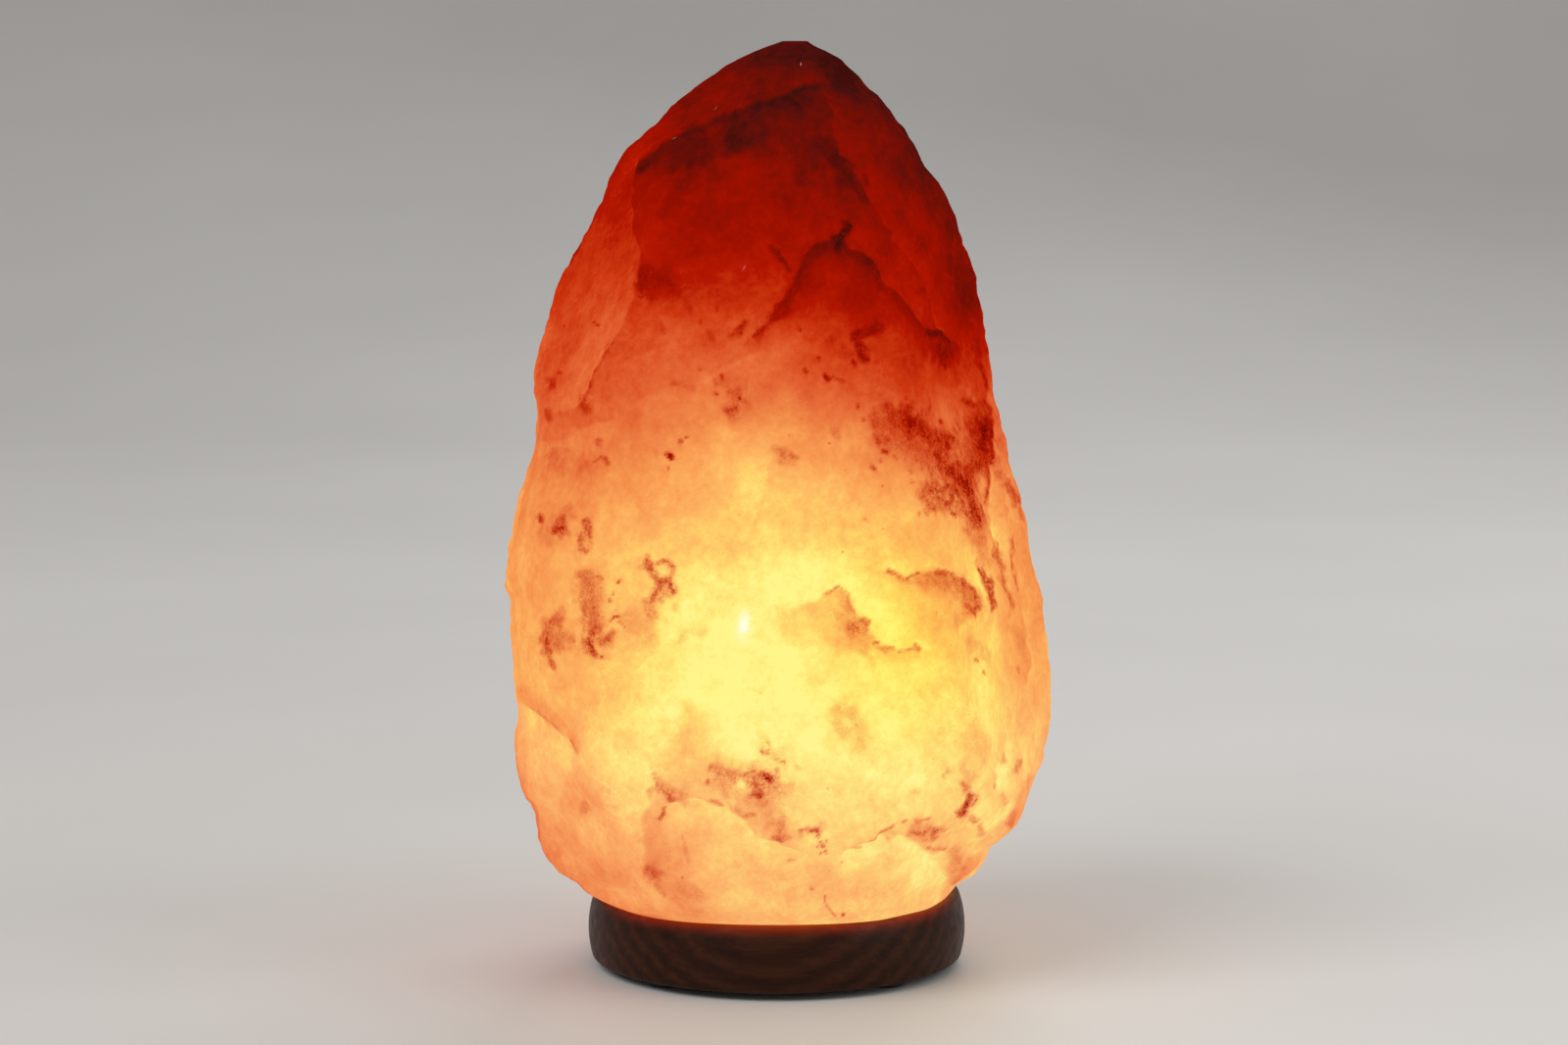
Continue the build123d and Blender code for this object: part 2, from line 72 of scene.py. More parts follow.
# -------------------------------------------------------------------- noise
def lattice(i, j, k, seed):
    m = 0xFFFFFFFF
    h = (
        (i & m).astype(np.uint64) * 73856093
        ^ (j & m).astype(np.uint64) * 19349663
        ^ (k & m).astype(np.uint64) * 83492791
        ^ np.uint64((seed * 2654435761) & m)
    ) & np.uint64(m)
    h ^= h >> np.uint64(13)
    h = (h * np.uint64(1540483477)) & np.uint64(m)
    h ^= h >> np.uint64(15)
    h = (h * np.uint64(2246822519)) & np.uint64(m)
    h ^= h >> np.uint64(13)
    return h


def noise3(p, seed):
    """Gradient noise, about -0.8 to 0.8, one feature per unit."""
    i = np.floor(p).astype(np.int64)
    f = p - i
    w = f * f * f * (f * (f * 6 - 15) + 10)
    out = np.zeros(p.shape[:-1])
    for dx in (0, 1):
        for dy in (0, 1):
            for dz in (0, 1):
                h = lattice(i[..., 0] + dx, i[..., 1] + dy, i[..., 2] + dz, seed)
                gx = (h & np.uint64(1023)).astype(float) / 511.5 - 1
                gy = ((h >> np.uint64(10)) & np.uint64(1023)).astype(float) / 511.5 - 1
                gz = ((h >> np.uint64(20)) & np.uint64(1023)).astype(float) / 511.5 - 1
                dot = (
                    gx * (f[..., 0] - dx) + gy * (f[..., 1] - dy) + gz * (f[..., 2] - dz)
                )
                out += (
                    dot
                    * (w[..., 0] if dx else 1 - w[..., 0])
                    * (w[..., 1] if dy else 1 - w[..., 1])
                    * (w[..., 2] if dz else 1 - w[..., 2])
                )
    return out


def fbm(p, size, octaves, seed, gain=0.5):
    out, amp, total = 0, 1.0, 0.0
    for k in range(octaves):
        out = out + amp * noise3(p * (2.03 ** k) / size, seed + 17 * k)
        total += amp
        amp *= gain
    return out / total * 1.6


def cells(p, size, seed):
    """Distance to the nearest and second nearest of scattered points, and a
    random value of the nearest one."""
    q = p / size
    i = np.floor(q).astype(np.int64)
    f1 = np.full(p.shape[:-1], 9.0)
    f2 = np.full(p.shape[:-1], 9.0)
    val = np.zeros(p.shape[:-1])
    for dx in (-1, 0, 1):
        for dy in (-1, 0, 1):
            for dz in (-1, 0, 1):
                a, b, c = i[..., 0] + dx, i[..., 1] + dy, i[..., 2] + dz
                h = lattice(a, b, c, seed)
                px = a + (h & np.uint64(1023)).astype(float) / 1023
                py = b + ((h >> np.uint64(10)) & np.uint64(1023)).astype(float) / 1023
                pz = c + ((h >> np.uint64(20)) & np.uint64(1023)).astype(float) / 1023
                d = np.sqrt(
                    (q[..., 0] - px) ** 2 + (q[..., 1] - py) ** 2 + (q[..., 2] - pz) ** 2
                )
                near = d < f1
                f2 = np.where(near, f1, np.minimum(f2, d))
                val = np.where(near, (h >> np.uint64(7)) % np.uint64(997) / 996.0, val)
                f1 = np.where(near, d, f1)
    return f1, f2, val


def smooth(lo, hi, x):
    t = np.clip((x - lo) / (hi - lo), 0, 1)
    return t * t * (3 - 2 * t)


# ------------------------------------------------- the crystal: rough outline
# At each height in millimetres: reach to the left, right, front and back.
ROCK = np.array([
    (19.5, -47.0, 46.0, -46.5, 46.5),
    (22.0, -53.4, 49.4, -52.0, 52.5),
    (26.5, -59.4, 54.2, -55.5, 55.5),
    (32.0, -63.0, 56.8, -58.0, 58.0),
    (37.0, -64.6, 62.3, -60.0, 60.0),
    (47.5, -68.0, 68.3, -62.5, 62.0),
    (58.0, -70.0, 71.3, -63.5, 63.5),
    (68.5, -69.4, 73.0, -64.2, 64.5),
    (79.0, -70.0, 73.0, -64.5, 65.0),
    (89.4, -70.5, 71.2, -64.5, 65.0),
    (99.9, -71.6, 69.6, -63.5, 64.5),
    (110.3, -71.5, 67.0, -62.0, 63.5),
    (120.6, -69.3, 65.2, -60.5, 62.0),
    (131.0, -66.0, 62.2, -58.5, 60.0),
    (141.3, -63.7, 59.8, -56.5, 57.5),
    (151.7, -63.9, 57.3, -54.0, 55.0),
    (162.0, -62.8, 55.9, -51.5, 52.0),
    (172.2, -60.2, 54.1, -48.5, 48.5),
    (182.5, -56.6, 51.7, -45.0, 45.0),
    (192.7, -51.0, 48.6, -41.0, 41.0),
    (202.9, -45.8, 44.6, -36.5, 36.0),
    (213.1, -40.3, 37.6, -30.5, 30.0),
    (223.2, -31.0, 31.2, -23.5, 23.5),
    (233.4, -18.4, 21.8, -14.5, 15.0),
    (238.4, -10.4, 16.0, -9.5, 10.0),
    (241.3, -2.6, 10.6, -5.0, 5.5),
    (243.0, 2.0, 8.6, -2.5, 3.0),
])
# Flat cleaved faces: azimuth and rise of the normal, distance, waviness.
FACES = [
    (-91.0, 6.0, 69.4, 1.3),
    (-95.0, 20.0, 100.6, 1.3),
    (-24.5, 10.0, 77.9, 0.9),
    (-28.0, 13.9, 87.0, 0.9),
    (-154.0, 22.5, 116.4, 0.9),
    (-140.6, 45.1, 174.2, 0.8),
    (-140.0, -25.0, 39.5, 1.0),
    (-45.0, -35.0, 28.4, 1.0),
    (60.0, 12.0, 84.5, 1.2),
    (122.0, 4.0, 69.5, 1.2),
    (97.0, 25.0, 113.0, 1.0),
    (150.0, -14.0, 52.5, 1.0),
    (28.0, -20.0, 47.0, 1.0),
    (86.0, 13.0, 83.8, 1.0),
    (36.0, 23.0, 115.8, 0.9),
    (141.0, 21.0, 113.1, 0.9),
    (74.0, -13.0, 48.8, 0.9),
    (112.0, -20.0, 43.8, 0.9),
    (60.0, 40.0, 161.2, 0.8),
    (128.0, 38.0, 156.9, 0.8),
    (100.0, 2.0, 66.5, 0.9),
]
# Bumps and notches of the left and right outline: height, shift in x of each.
NOTCHES = np.array([
    (20, 1.0, -1.2), (22, 1.4, -2.2), (24, 3.0, -3.4), (25.5, 3.0, -3.1), (27, 2.2, -2.3), (30, 0.9, -1.3), (32.5, 0.6, -2.0),
    (34, 0.8, -2.6), (35, 1.0, -2.7), (36, 1.3, -1.8), (38, 1.7, -0.5),
    (39, 1.9, 0.5), (42, 2.8, 0.1), (45, 2.8, -0.5), (48, 2.0, -0.9), (51, 1.8, -1.1), (54, 1.5, -0.9),
    (60, 1.4, -0.7), (63, 1.4, -0.4), (66, 2.0, 0.3), (69, 2.1, 0.3), (72, 1.6, 0.5), (75, 1.1, 1.0),
    (78, 0.9, 1.0), (81, 1.0, 0.7), (84, 0.9, 0.3), (87, 0.7, 0.1), (90, 0.8, 0.0), (93, 1.1, 0.4),
    (96, 1.6, 1.2), (99, 1.9, 1.4), (102, 1.2, 0.9), (105, 0.7, 0.5), (108, 1.0, 0.2), (111, 1.4, -0.3),
    (114, 1.6, 0.1), (117, 1.2, 0.4), (123, 1.0, 0.3), (129, 1.1, 0.2), (132, 0.7, 0.5), (135, 0.4, 0.8),
    (138, 0.7, 0.8), (144, 0.8, 0.2), (147, 1.2, -0.3), (150, 1.0, -0.5), (153, 0.3, -0.1), (156, -0.2, -0.2),
    (159, 0.0, -0.7), (162, 0.6, -0.6), (165, 0.9, -0.7), (168, 1.2, -0.5), (171, 1.1, -0.5), (174, 0.7, -0.1),
    (180, 0.5, -0.1), (186, 0.8, 0.0), (189, 0.9, -0.2), (192, 1.2, 0.4), (195, 1.5, 0.6), (198, 1.3, 1.0),
    (201, 1.3, 0.5), (204, 0.4, 0.7), (207, -0.7, 0.4), (210, -0.6, -0.5), (213, -0.7, 0.0), (216, -1.7, 0.9),
    (219, -0.4, 0.6), (222, 0.8, 0.5), (225, 0.0, 0.3), (228, -0.9, 0.1), (231, -0.8, -0.8), (234, 0.2, -0.3),
    (237, -0.2, -0.2), (240, -0.5, -0.5),
])
POWER = 2.4
BLEND = 0.45

Z0, Z1 = ROCK[0, 0], ROCK[-1, 0]
fine_z = np.linspace(Z0, Z1, 895)
fine = np.stack([np.interp(fine_z, ROCK[:, 0], ROCK[:, k]) for k in range(1, 5)], 1)
kernel = np.exp(-0.5 * (np.arange(-14, 15) / 5.0) ** 2)
kernel /= kernel.sum()
padded = np.concatenate(
    [2 * fine[:1] - fine[14:0:-1], fine, 2 * fine[-1:] - fine[-2:-16:-1]]
)
fine = np.stack([np.convolve(padded[:, k], kernel, "valid") for k in range(4)], 1)

# rings of equal spacing along the outline
RING = 1.2
STEPS = 284
mean_r = (fine[:, 1] - fine[:, 0] + fine[:, 3] - fine[:, 2]) / 4
run = np.concatenate(
    [[0], np.cumsum(np.hypot(np.diff(fine_z), np.diff(mean_r)))]
)
ring_z = np.interp(np.linspace(0, run[-1], int(run[-1] / RING) + 1), run, fine_z)
rows = np.stack([np.interp(ring_z, fine_z, fine[:, k]) for k in range(4)], 1)
# the front is divided finer than the back
turn_in = np.linspace(0, 2 * np.pi, 3601)
share_in = turn_in + 0.36 * (np.sin(turn_in - 1.5 * np.pi) - 1)
theta = np.interp(2 * np.pi * np.arange(STEPS) / STEPS, share_in, turn_in)
ct, st = np.cos(theta)[None, :], np.sin(theta)[None, :]
cx = ((rows[:, 0] + rows[:, 1]) / 2)[:, None]
cy = ((rows[:, 2] + rows[:, 3]) / 2)[:, None]
ax = ((rows[:, 1] - rows[:, 0]) / 2)[:, None]
ay = ((rows[:, 3] - rows[:, 2]) / 2)[:, None]
zz = np.repeat(ring_z[:, None], STEPS, 1)


def place(r):
    return np.stack([cx + r * ct, cy + r * st, zz], -1)


radius = (np.abs(ct / ax) ** POWER + np.abs(st / ay) ** POWER) ** (-1 / POWER)
rough_pos = place(radius)
for n, (azimuth, rise, dist, wavy) in enumerate(FACES):
    a, e = math.radians(azimuth), math.radians(rise)
    nx, ny, nz = math.cos(a) * math.cos(e), math.sin(a) * math.cos(e), math.sin(e)
    reach = nx * ct + ny * st
    d = dist + wavy * fbm(rough_pos, 26.0, 2, 300 + n)
    cut = np.where(
        reach > 0.05, (d - nx * cx - ny * cy - nz * zz) / np.maximum(reach, 0.05), 1e3
    )
    m = np.minimum(radius, cut)
    radius = m - BLEND * np.log(
        np.exp(-(radius - m) / BLEND) + np.exp(-np.minimum((cut - m) / BLEND, 60))
    )
radius = np.maximum(radius, 1.2)
radius = radius + smooth(0.5, 0.9, np.abs(ct)) * np.where(
    ct < 0, -np.interp(zz, NOTCHES[:, 0], NOTCHES[:, 1]), np.interp(zz, NOTCHES[:, 0], NOTCHES[:, 2])
)
radius = np.maximum(radius, 1.0)
skin = place(radius)


def normals(p):
    du = np.roll(p, -1, 1) - np.roll(p, 1, 1)
    dv = np.empty_like(p)
    dv[1:-1] = p[2:] - p[:-2]
    dv[0] = p[1] - p[0]
    dv[-1] = p[-1] - p[-2]
    n = np.cross(du, dv)
    return n / np.maximum(np.linalg.norm(n, axis=-1, keepdims=True), 1e-9)


def facing(p, n, turn):
    """Cosine between the normal and the line to the eye, the lamp turned first."""
    c, s = math.cos(-turn), math.sin(-turn)
    eye = np.array([c * EYE[0] - s * EYE[1], s * EYE[0] + c * EYE[1], EYE[2]])
    v = eye - p
    return (n * v).sum(-1) / np.linalg.norm(v, axis=-1)


# ------------------------------------------ the crystal: ledges, chips, stains
def line_of(u, v, pts):
    """Distance to a drawn line, the side of it (+1 to the right when walking
    along it), and how far past its ends."""
    best = np.full(u.shape, 1e9)
    side = np.zeros(u.shape)
    past = np.zeros(u.shape)
    last = len(pts) - 2
    for k, ((x0, y0), (x1, y1)) in enumerate(zip(pts, pts[1:])):
        dx, dy = x1 - x0, y1 - y0
        length = math.hypot(dx, dy)
        t = ((u - x0) * dx + (v - y0) * dy) / length ** 2
        tc = np.clip(t, 0, 1)
        d = np.hypot(u - x0 - tc * dx, v - y0 - tc * dy)
        cross = (dx * (v - y0) - dy * (u - x0)) / length
        over = np.zeros(u.shape)
        if k == 0:
            over = np.maximum(over, -t * length)
        if k == last:
            over = np.maximum(over, (t - 1) * length)
        better = (d < best - 1e-6) | ((d < best + 1e-6) & (np.abs(cross) > np.abs(side)))
        best = np.where(better, d, best)
        side = np.where(better, cross, side)
        past = np.where(better, over, past)
    return best, np.where(side < 0, -1.0, 1.0), past


# Each ledge: its line as seen from the front, the side that steps (+1 is to the
# right when walking along it), the step in millimetres, how far it fades out,
# the change of glow on that side and its fade, and on the other side.
LEDGES = [
    # top face, hanging over the front, and its crisp rim
    ([(632, 188), (642, 175), (660, 156), (675, 146), (690, 137), (712, 127), (730, 115), (742, 112),
      (757, 110), (770, 104), (785, 100), (800, 96), (815, 87), (830, 84), (838, 85)],
     1, -0.9, 90, -0.045, 26, 0.02, 14),
    ([(650, 168), (660, 156), (675, 146), (690, 137), (712, 127), (730, 115), (742, 112), (757, 110),
      (770, 104), (785, 100), (800, 96), (815, 87), (828, 85)], 1, 0.0, 30, -0.035, 8, 0.05, 5),
    # flake shaped like an upturned V
    ([(770, 342), (787, 325), (800, 307), (811, 287), (819, 264), (832, 249), (850, 245), (858, 238),
      (863, 248), (867, 255), (880, 259), (890, 267), (896, 277), (900, 291), (910, 297), (922, 310),
      (932, 325), (940, 335), (957, 337), (972, 347)], 1, 1.5, 70, -0.095, 44, 0.02, 16),
    # left upper face
    ([(650, 165), (641, 187), (646, 215), (648, 247), (652, 262), (650, 277), (647, 302), (640, 317),
      (630, 335), (622, 350), (612, 362), (604, 377), (597, 397), (590, 410), (575, 418)],
     1, -1.3, 60, 0.06, 46, -0.018, 20),
    # chip low on the left
    ([(530, 718), (539, 724), (548, 729), (560, 739), (569, 748), (579, 755), (585, 764)],
     1, -1.8, 60, 0.03, 36, -0.03, 12),
    ([(579, 764), (577, 784), (573, 804)], 1, -0.5, 30, 0.015, 24, -0.015, 16),
    # chip low in the middle
    ([(672, 830), (680, 822), (688, 819), (704, 815), (716, 817), (728, 824), (740, 824), (748, 831),
      (758, 835), (764, 844), (772, 854), (784, 858), (806, 866)], 1, -1.6, 80, 0.015, 50, -0.03, 12),
    # band beside that chip
    ([(665, 788), (670, 800), (668, 812), (658, 826), (655, 834), (657, 852), (657, 876), (659, 890),
      (668, 902), (676, 916), (688, 923)], -1, -1.0, 30, -0.062, 24, 0.035, 14),
    # chip low on the right
    ([(866, 868), (884, 861), (898, 853), (916, 851), (930, 856), (938, 864), (950, 874), (962, 886),
      (970, 898), (972, 908)], 1, -1.6, 55, 0.03, 40, -0.04, 10),
    # ridge between the front and the right side
    ([(1008, 400), (1012, 425), (1015, 442), (1015, 455), (1013, 470), (1013, 493), (1009, 513),
      (1012, 533), (1014, 548)], -1, -0.5, 18, 0.10, 14, -0.02, 6),
    ([(1014, 548), (1022, 600), (1029, 640), (1033, 700), (1028, 760), (1015, 800)],
     -1, -1.0, 30, 0.02, 26, -0.02, 18),
    # ridge on the right, upper part
    ([(847, 105), (850, 127), (855, 152), (867, 170), (880, 190), (887, 205), (905, 232), (930, 262),
      (945, 290), (957, 335)], -1, -0.5, 40, 0.035, 40, -0.03, 18),
    # cloudy patch with a crisp upper edge
    ([(795, 619), (810, 620), (820, 615), (832, 614), (842, 605), (855, 597), (866, 605), (867, 614),
      (872, 625), (876, 631), (886, 631), (887, 636), (884, 646), (892, 655), (910, 660), (920, 665),
      (930, 659), (939, 661)], 1, -0.6, 40, -0.07, 24, 0.03, 9),
    # upper edge of the large patch on the right
    ([(895, 452), (893, 446), (890, 436), (886, 424), (890, 420), (898, 419), (903, 413), (912, 414), (915, 423), (922, 417),
      (929, 422), (938, 426), (944, 433), (954, 439), (968, 440), (971, 452)], 1, -0.2, 16, -0.045, 14, 0.02, 7),
    # shell-shaped patch near the right ridge
    ([(905, 582), (915, 585), (922, 592), (935, 584), (945, 585), (960, 582), (972, 585), (980, 590),
      (990, 600), (998, 608), (1000, 618), (996, 626), (988, 627)], 1, -0.8, 26, -0.09, 18, 0.02, 10),
    # low ledge across the middle of the left
    ([(522, 470), (545, 452), (575, 446), (600, 432), (622, 428)], 1, -0.9, 40, 0.03, 30, -0.03, 16),
    # steps of the right side
    ([(1020, 470), (1026, 505), (1035, 540), (1040, 590), (1046, 640), (1050, 690)],
     1, 0.9, 16, -0.05, 10, 0.03, 12),
    # short scars
    ([(678, 309), (690, 302), (700, 297), (720, 291), (738, 284)], 1, -0.6, 22, 0.03, 16, -0.02, 10),
    ([(640, 367), (655, 360), (667, 355), (685, 350)], 1, -0.5, 18, 0.03, 12, -0.02, 10),
    ([(690, 393), (716, 385), (745, 372), (770, 360)], 1, -0.6, 26, 0.03, 18, -0.02, 12),
    ([(700, 690), (706, 720), (704, 752), (700, 772)], 1, -0.4, 14, -0.04, 12, 0.0, 8),
    ([(786, 470), (783, 490), (776, 510), (770, 530)], 1, -0.4, 16, 0.02, 12, -0.02, 10),
]

# Iron-red inclusions as seen from the front: line, half width in pixels, strength.
STAINS = [
    # under the top face
    ([(740, 118), (746, 132), (748, 142)], 11, 0.5), ([(741, 139), (751, 142)], 6, 0.85),
    ([(706, 136), (714, 148), (708, 162)], 12, 0.5), ([(716, 132), (718, 150)], 5, 0.6),
    ([(680, 146), (692, 156)], 11, 0.34), ([(652, 172), (658, 166)], 5, 0.9), ([(688, 168), (684, 176)], 4, 0.35),
    ([(706, 168), (694, 192), (678, 216)], 9, 0.32), ([(770, 110), (800, 104), (826, 97)], 9, 0.26),
    ([(776, 104), (784, 104)], 4, 0.4), ([(806, 95), (824, 89)], 5, 0.26), ([(848, 68), (864, 72)], 12, 0.5),
    ([(780, 55), (812, 50)], 10, 0.36), ([(766, 66), (800, 60)], 9, 0.3), ([(838, 144), (850, 152)], 7, 0.42),
    ([(852, 162), (860, 172), (866, 182)], 8, 0.78), ([(868, 184), (878, 198), (886, 205)], 3.5, 0.6),
    ([(882, 180), (884, 185)], 3.5, 0.55), ([(814, 186), (806, 205), (804, 214)], 5, 0.22),
    ([(876, 123), (878, 125)], 3, 0.45), ([(698, 105), (702, 107)], 5, 0.3), ([(688, 200), (692, 206)], 7, 0.25),
    # the upturned V
    ([(866, 230), (859, 240), (855, 252)], 4.5, 1.5), ([(852, 244), (856, 254)], 5, 1.3),
    ([(850, 250), (834, 256), (822, 272)], 8, 0.26), ([(818, 278), (811, 295), (800, 312)], 6, 0.44),
    ([(812, 284), (814, 292)], 4, 0.5), ([(798, 318), (785, 330), (774, 342)], 5.5, 0.42),
    ([(862, 256), (880, 263), (889, 272)], 7, 0.42), ([(886, 268), (890, 272)], 4, 0.55),
    ([(895, 280), (899, 292), (912, 302)], 5.5, 0.36), ([(915, 306), (928, 322), (938, 334)], 5.5, 0.22),
    ([(872, 345), (884, 339), (894, 335)], 5.5, 0.74), ([(876, 354), (880, 363)], 6.5, 0.92),
    ([(869, 369), (872, 373)], 2, 0.75), ([(862, 356), (868, 362)], 4, 0.3), ([(846, 350), (854, 344)], 5, 0.2),
    ([(944, 340), (956, 343), (968, 346)], 5, 0.85), ([(954, 355), (960, 363)], 7, 0.8), ([(962, 346), (968, 360)], 6, 0.5),
    ([(956, 369), (963, 374)], 2.5, 0.5), ([(936, 298), (944, 297)], 4, 0.36), ([(942, 240), (944, 258)], 4, 0.18),
    ([(788, 254), (794, 258)], 3.5, 0.7), ([(796, 262), (801, 270), (806, 275)], 1.7, 0.8),
    ([(980, 275), (985, 295), (990, 310)], 8, 0.36), ([(996, 350), (998, 360)], 5, 0.36),
    ([(1000, 370), (1004, 385), (1008, 398)], 2.5, 0.5), ([(976, 382), (978, 392)], 3, 0.3),
    ([(821, 378), (823, 380)], 2, 0.7), ([(842, 384), (845, 387)], 2.2, 0.8), ([(848, 385), (860, 390)], 1.3, 0.28),
    ([(836, 365), (837, 366)], 1.5, 0.8), ([(816, 337), (817, 338)], 1.4, 0.7),
    # left upper part
    ([(658, 280), (674, 286)], 12, 0.5), ([(653, 276), (655, 300)], 4, 0.55), ([(660, 296), (664, 302)], 5, 0.4), ([(676, 292), (690, 298)], 6, 0.22),
    ([(616, 358), (607, 374), (602, 386), (598, 398)], 4, 0.36), ([(601, 387), (602, 394)], 2, 0.6),
    ([(591, 408), (596, 418)], 6, 0.36), ([(572, 331), (573, 332)], 1.7, 0.7), ([(602, 327), (606, 330)], 1.7, 0.6),
    ([(623, 350), (624, 351)], 1.5, 0.8), ([(567, 377), (568, 378)], 1.7, 0.5), ([(558, 386), (560, 394)], 3.5, 0.4),
    ([(561, 420), (562, 426)], 3.5, 0.4), ([(700, 304), (703, 313)], 4, 0.3), ([(675, 330), (678, 340)], 2, 0.26),
    ([(723, 338), (727, 347)], 4, 0.24), ([(731, 312), (732, 316)], 1.5, 0.32), ([(714, 326), (715, 328)], 1.3, 0.4),
    ([(747, 342), (755, 338), (761, 331)], 4, 0.5), ([(753, 340), (756, 341)], 2.5, 0.65),
    ([(776, 336), (778, 342)], 3, 0.3), ([(687, 391), (700, 394), (707, 396)], 3, 0.18), ([(712, 377), (714, 378)], 1.6, 0.4),
    ([(736, 383), (737, 386)], 1.8, 0.6), ([(730, 401), (731, 402)], 1.4, 0.6), ([(728, 388), (730, 392)], 2, 0.3),
    # left middle
    ([(752, 404), (748, 420)], 10, 0.34), ([(741, 419), (748, 417), (752, 415)], 2.5, 0.6),
    ([(755, 406), (756, 408)], 1.7, 1.0), ([(740, 420), (743, 421)], 2, 0.75), ([(760, 410), (756, 424)], 7, 0.14),
    ([(793, 461), (803, 463)], 5, 0.36), ([(804, 465), (812, 468)], 4, 0.32), ([(796, 470), (808, 472)], 4, 0.2),
    ([(683, 465), (685, 467)], 2.4, 1.3), ([(694, 451), (695, 452)], 1.4, 0.7), ([(700, 446), (701, 447)], 1.3, 0.6),
    ([(682, 476), (683, 478)], 1.2, 0.7), ([(668, 459), (670, 463)], 1.3, 0.3), ([(605, 448), (608, 450)], 3, 0.4),
    ([(603, 471), (611, 466), (618, 472)], 1.4, 0.34), ([(616, 467), (619, 472)], 1.8, 0.55),
    ([(562, 464), (568, 473)], 8, 0.24), ([(573, 460), (577, 467)], 4, 0.2), ([(586, 468), (594, 476)], 8, 0.12),
    ([(552, 527), (552, 532)], 2.4, 0.75), ([(575, 531), (572, 538), (575, 544)], 5, 0.5),
    ([(567, 541), (573, 539)], 3.5, 0.95), ([(576, 534), (577, 541)], 2.5, 0.5), ([(578, 520), (578, 528)], 5, 0.16),
    ([(595, 530), (599, 540), (602, 548)], 2.8, 0.62), ([(594, 530), (597, 534)], 2.5, 0.7),
    ([(594, 545), (590, 552), (592, 561), (598, 562)], 3, 0.5), ([(597, 545), (598, 556)], 7, 0.26),
    ([(590, 554), (593, 560)], 2.5, 0.6), ([(558, 545), (562, 552)], 7, 0.14),
    ([(598, 586), (600, 612), (605, 640)], 9, 0.34), ([(610, 592), (612, 638)], 6, 0.22),
    ([(596, 584), (601, 602)], 5, 0.42), ([(606, 588), (614, 590)], 2.2, 0.42), ([(593, 590), (594, 610), (597, 636)], 1.8, 0.3),
    ([(596, 620), (598, 628)], 4, 0.4), ([(604, 604), (606, 626)], 5, 0.32),
    ([(609, 626), (610, 627)], 1.5, 0.7), ([(606, 619), (607, 620)], 1.4, 0.6),
    ([(610, 642), (604, 648), (601, 655), (603, 662), (607, 667)], 4.5, 0.72), ([(602, 656), (605, 664)], 3, 1.0),
    ([(609, 668), (613, 670)], 3, 0.6), ([(607, 648), (616, 655)], 8, 0.34), ([(614, 656), (620, 652), (626, 645)], 4, 0.5),
    ([(617, 655), (621, 652)], 2.5, 0.65), ([(622, 633), (626, 629), (631, 628)], 1.6, 0.8), ([(632, 634), (638, 639)], 1.4, 0.4),
    ([(630, 594), (631, 592)], 1.5, 0.7), ([(622, 612), (623, 613)], 1.4, 0.7), ([(625, 605), (626, 606)], 1.3, 0.5),
    ([(572, 631), (564, 636), (560, 645), (558, 655), (562, 663)], 5, 0.56), ([(560, 650), (559, 656)], 3, 0.7),
    ([(566, 640), (568, 655)], 9, 0.36), ([(576, 648), (583, 651)], 5, 0.3), ([(562, 668), (565, 680)], 1.8, 0.6),
    ([(564, 676), (566, 681)], 2.2, 0.6), ([(574, 620), (575, 626)], 3, 0.16),
    ([(660, 575), (663, 580), (666, 586)], 4.5, 0.78), ([(660, 573), (663, 577)], 3, 1.1),
    ([(671, 574), (677, 572), (683, 574), (687, 579)], 2.4, 0.66), ([(682, 575), (686, 579)], 2.2, 0.75),
    ([(687, 580), (686, 586), (682, 591)], 2.2, 0.5), ([(668, 588), (672, 594)], 2.5, 0.6), ([(671, 595), (680, 593)], 4.5, 0.6),
    ([(682, 592), (685, 600), (687, 605)], 3, 0.8), ([(674, 598), (668, 605), (665, 610)], 2.6, 0.65),
    ([(672, 600), (680, 606)], 6, 0.36), ([(673, 611), (675, 614)], 2.5, 0.4), ([(660, 613), (664, 624)], 6, 0.28),
    ([(658, 622), (663, 628), (669, 625)], 2, 0.36), ([(653, 578), (657, 580)], 3, 0.2), ([(661, 566), (662, 569)], 1.6, 0.4),
    ([(645, 632), (662, 650)], 11, 0.12), ([(640, 626), (646, 628)], 3, 0.2), ([(696, 650), (698, 646)], 5, 0.14),
    ([(708, 645), (720, 645)], 4, 0.12), ([(660, 530), (664, 544)], 9, 0.08), ([(688, 618), (690, 622)], 4, 0.1),
    # right middle: the large patch
    ([(893, 424), (898, 442)], 8, 0.27), ([(905, 418), (911, 438)], 9, 0.35), ([(922, 424), (930, 440)], 11, 0.5),
    ([(940, 432), (950, 446)], 11, 0.46), ([(958, 444), (968, 448)], 7, 0.55), ([(905, 446), (945, 462)], 12, 0.24),
    ([(925, 455), (955, 470)], 12, 0.22), ([(893, 443), (898, 450)], 3.5, 0.5), ([(927, 427), (934, 430)], 4.5, 0.9),
    ([(926, 439), (930, 433)], 3.2, 0.9), ([(936, 427), (940, 431)], 2, 0.75), ([(936, 442), (938, 444)], 1.6, 0.8),
    ([(944, 444), (948, 447)], 1.8, 0.75), ([(903, 413), (906, 420)], 2, 0.45), ([(890, 428), (893, 440)], 2, 0.36),
    ([(875, 413), (876, 415)], 1.4, 0.6), ([(926, 414), (929, 415)], 2, 0.6), ([(960, 428), (962, 430)], 2, 0.6),
    ([(957, 449), (968, 449)], 5.5, 0.6), ([(958, 463), (966, 470)], 5.5, 0.72), ([(962, 474), (970, 480)], 5, 0.6),
    ([(972, 478), (980, 487)], 5.5, 0.8), ([(982, 488), (990, 498)], 5.5, 0.9), ([(962, 455), (970, 470), (978, 482)], 12, 0.42),
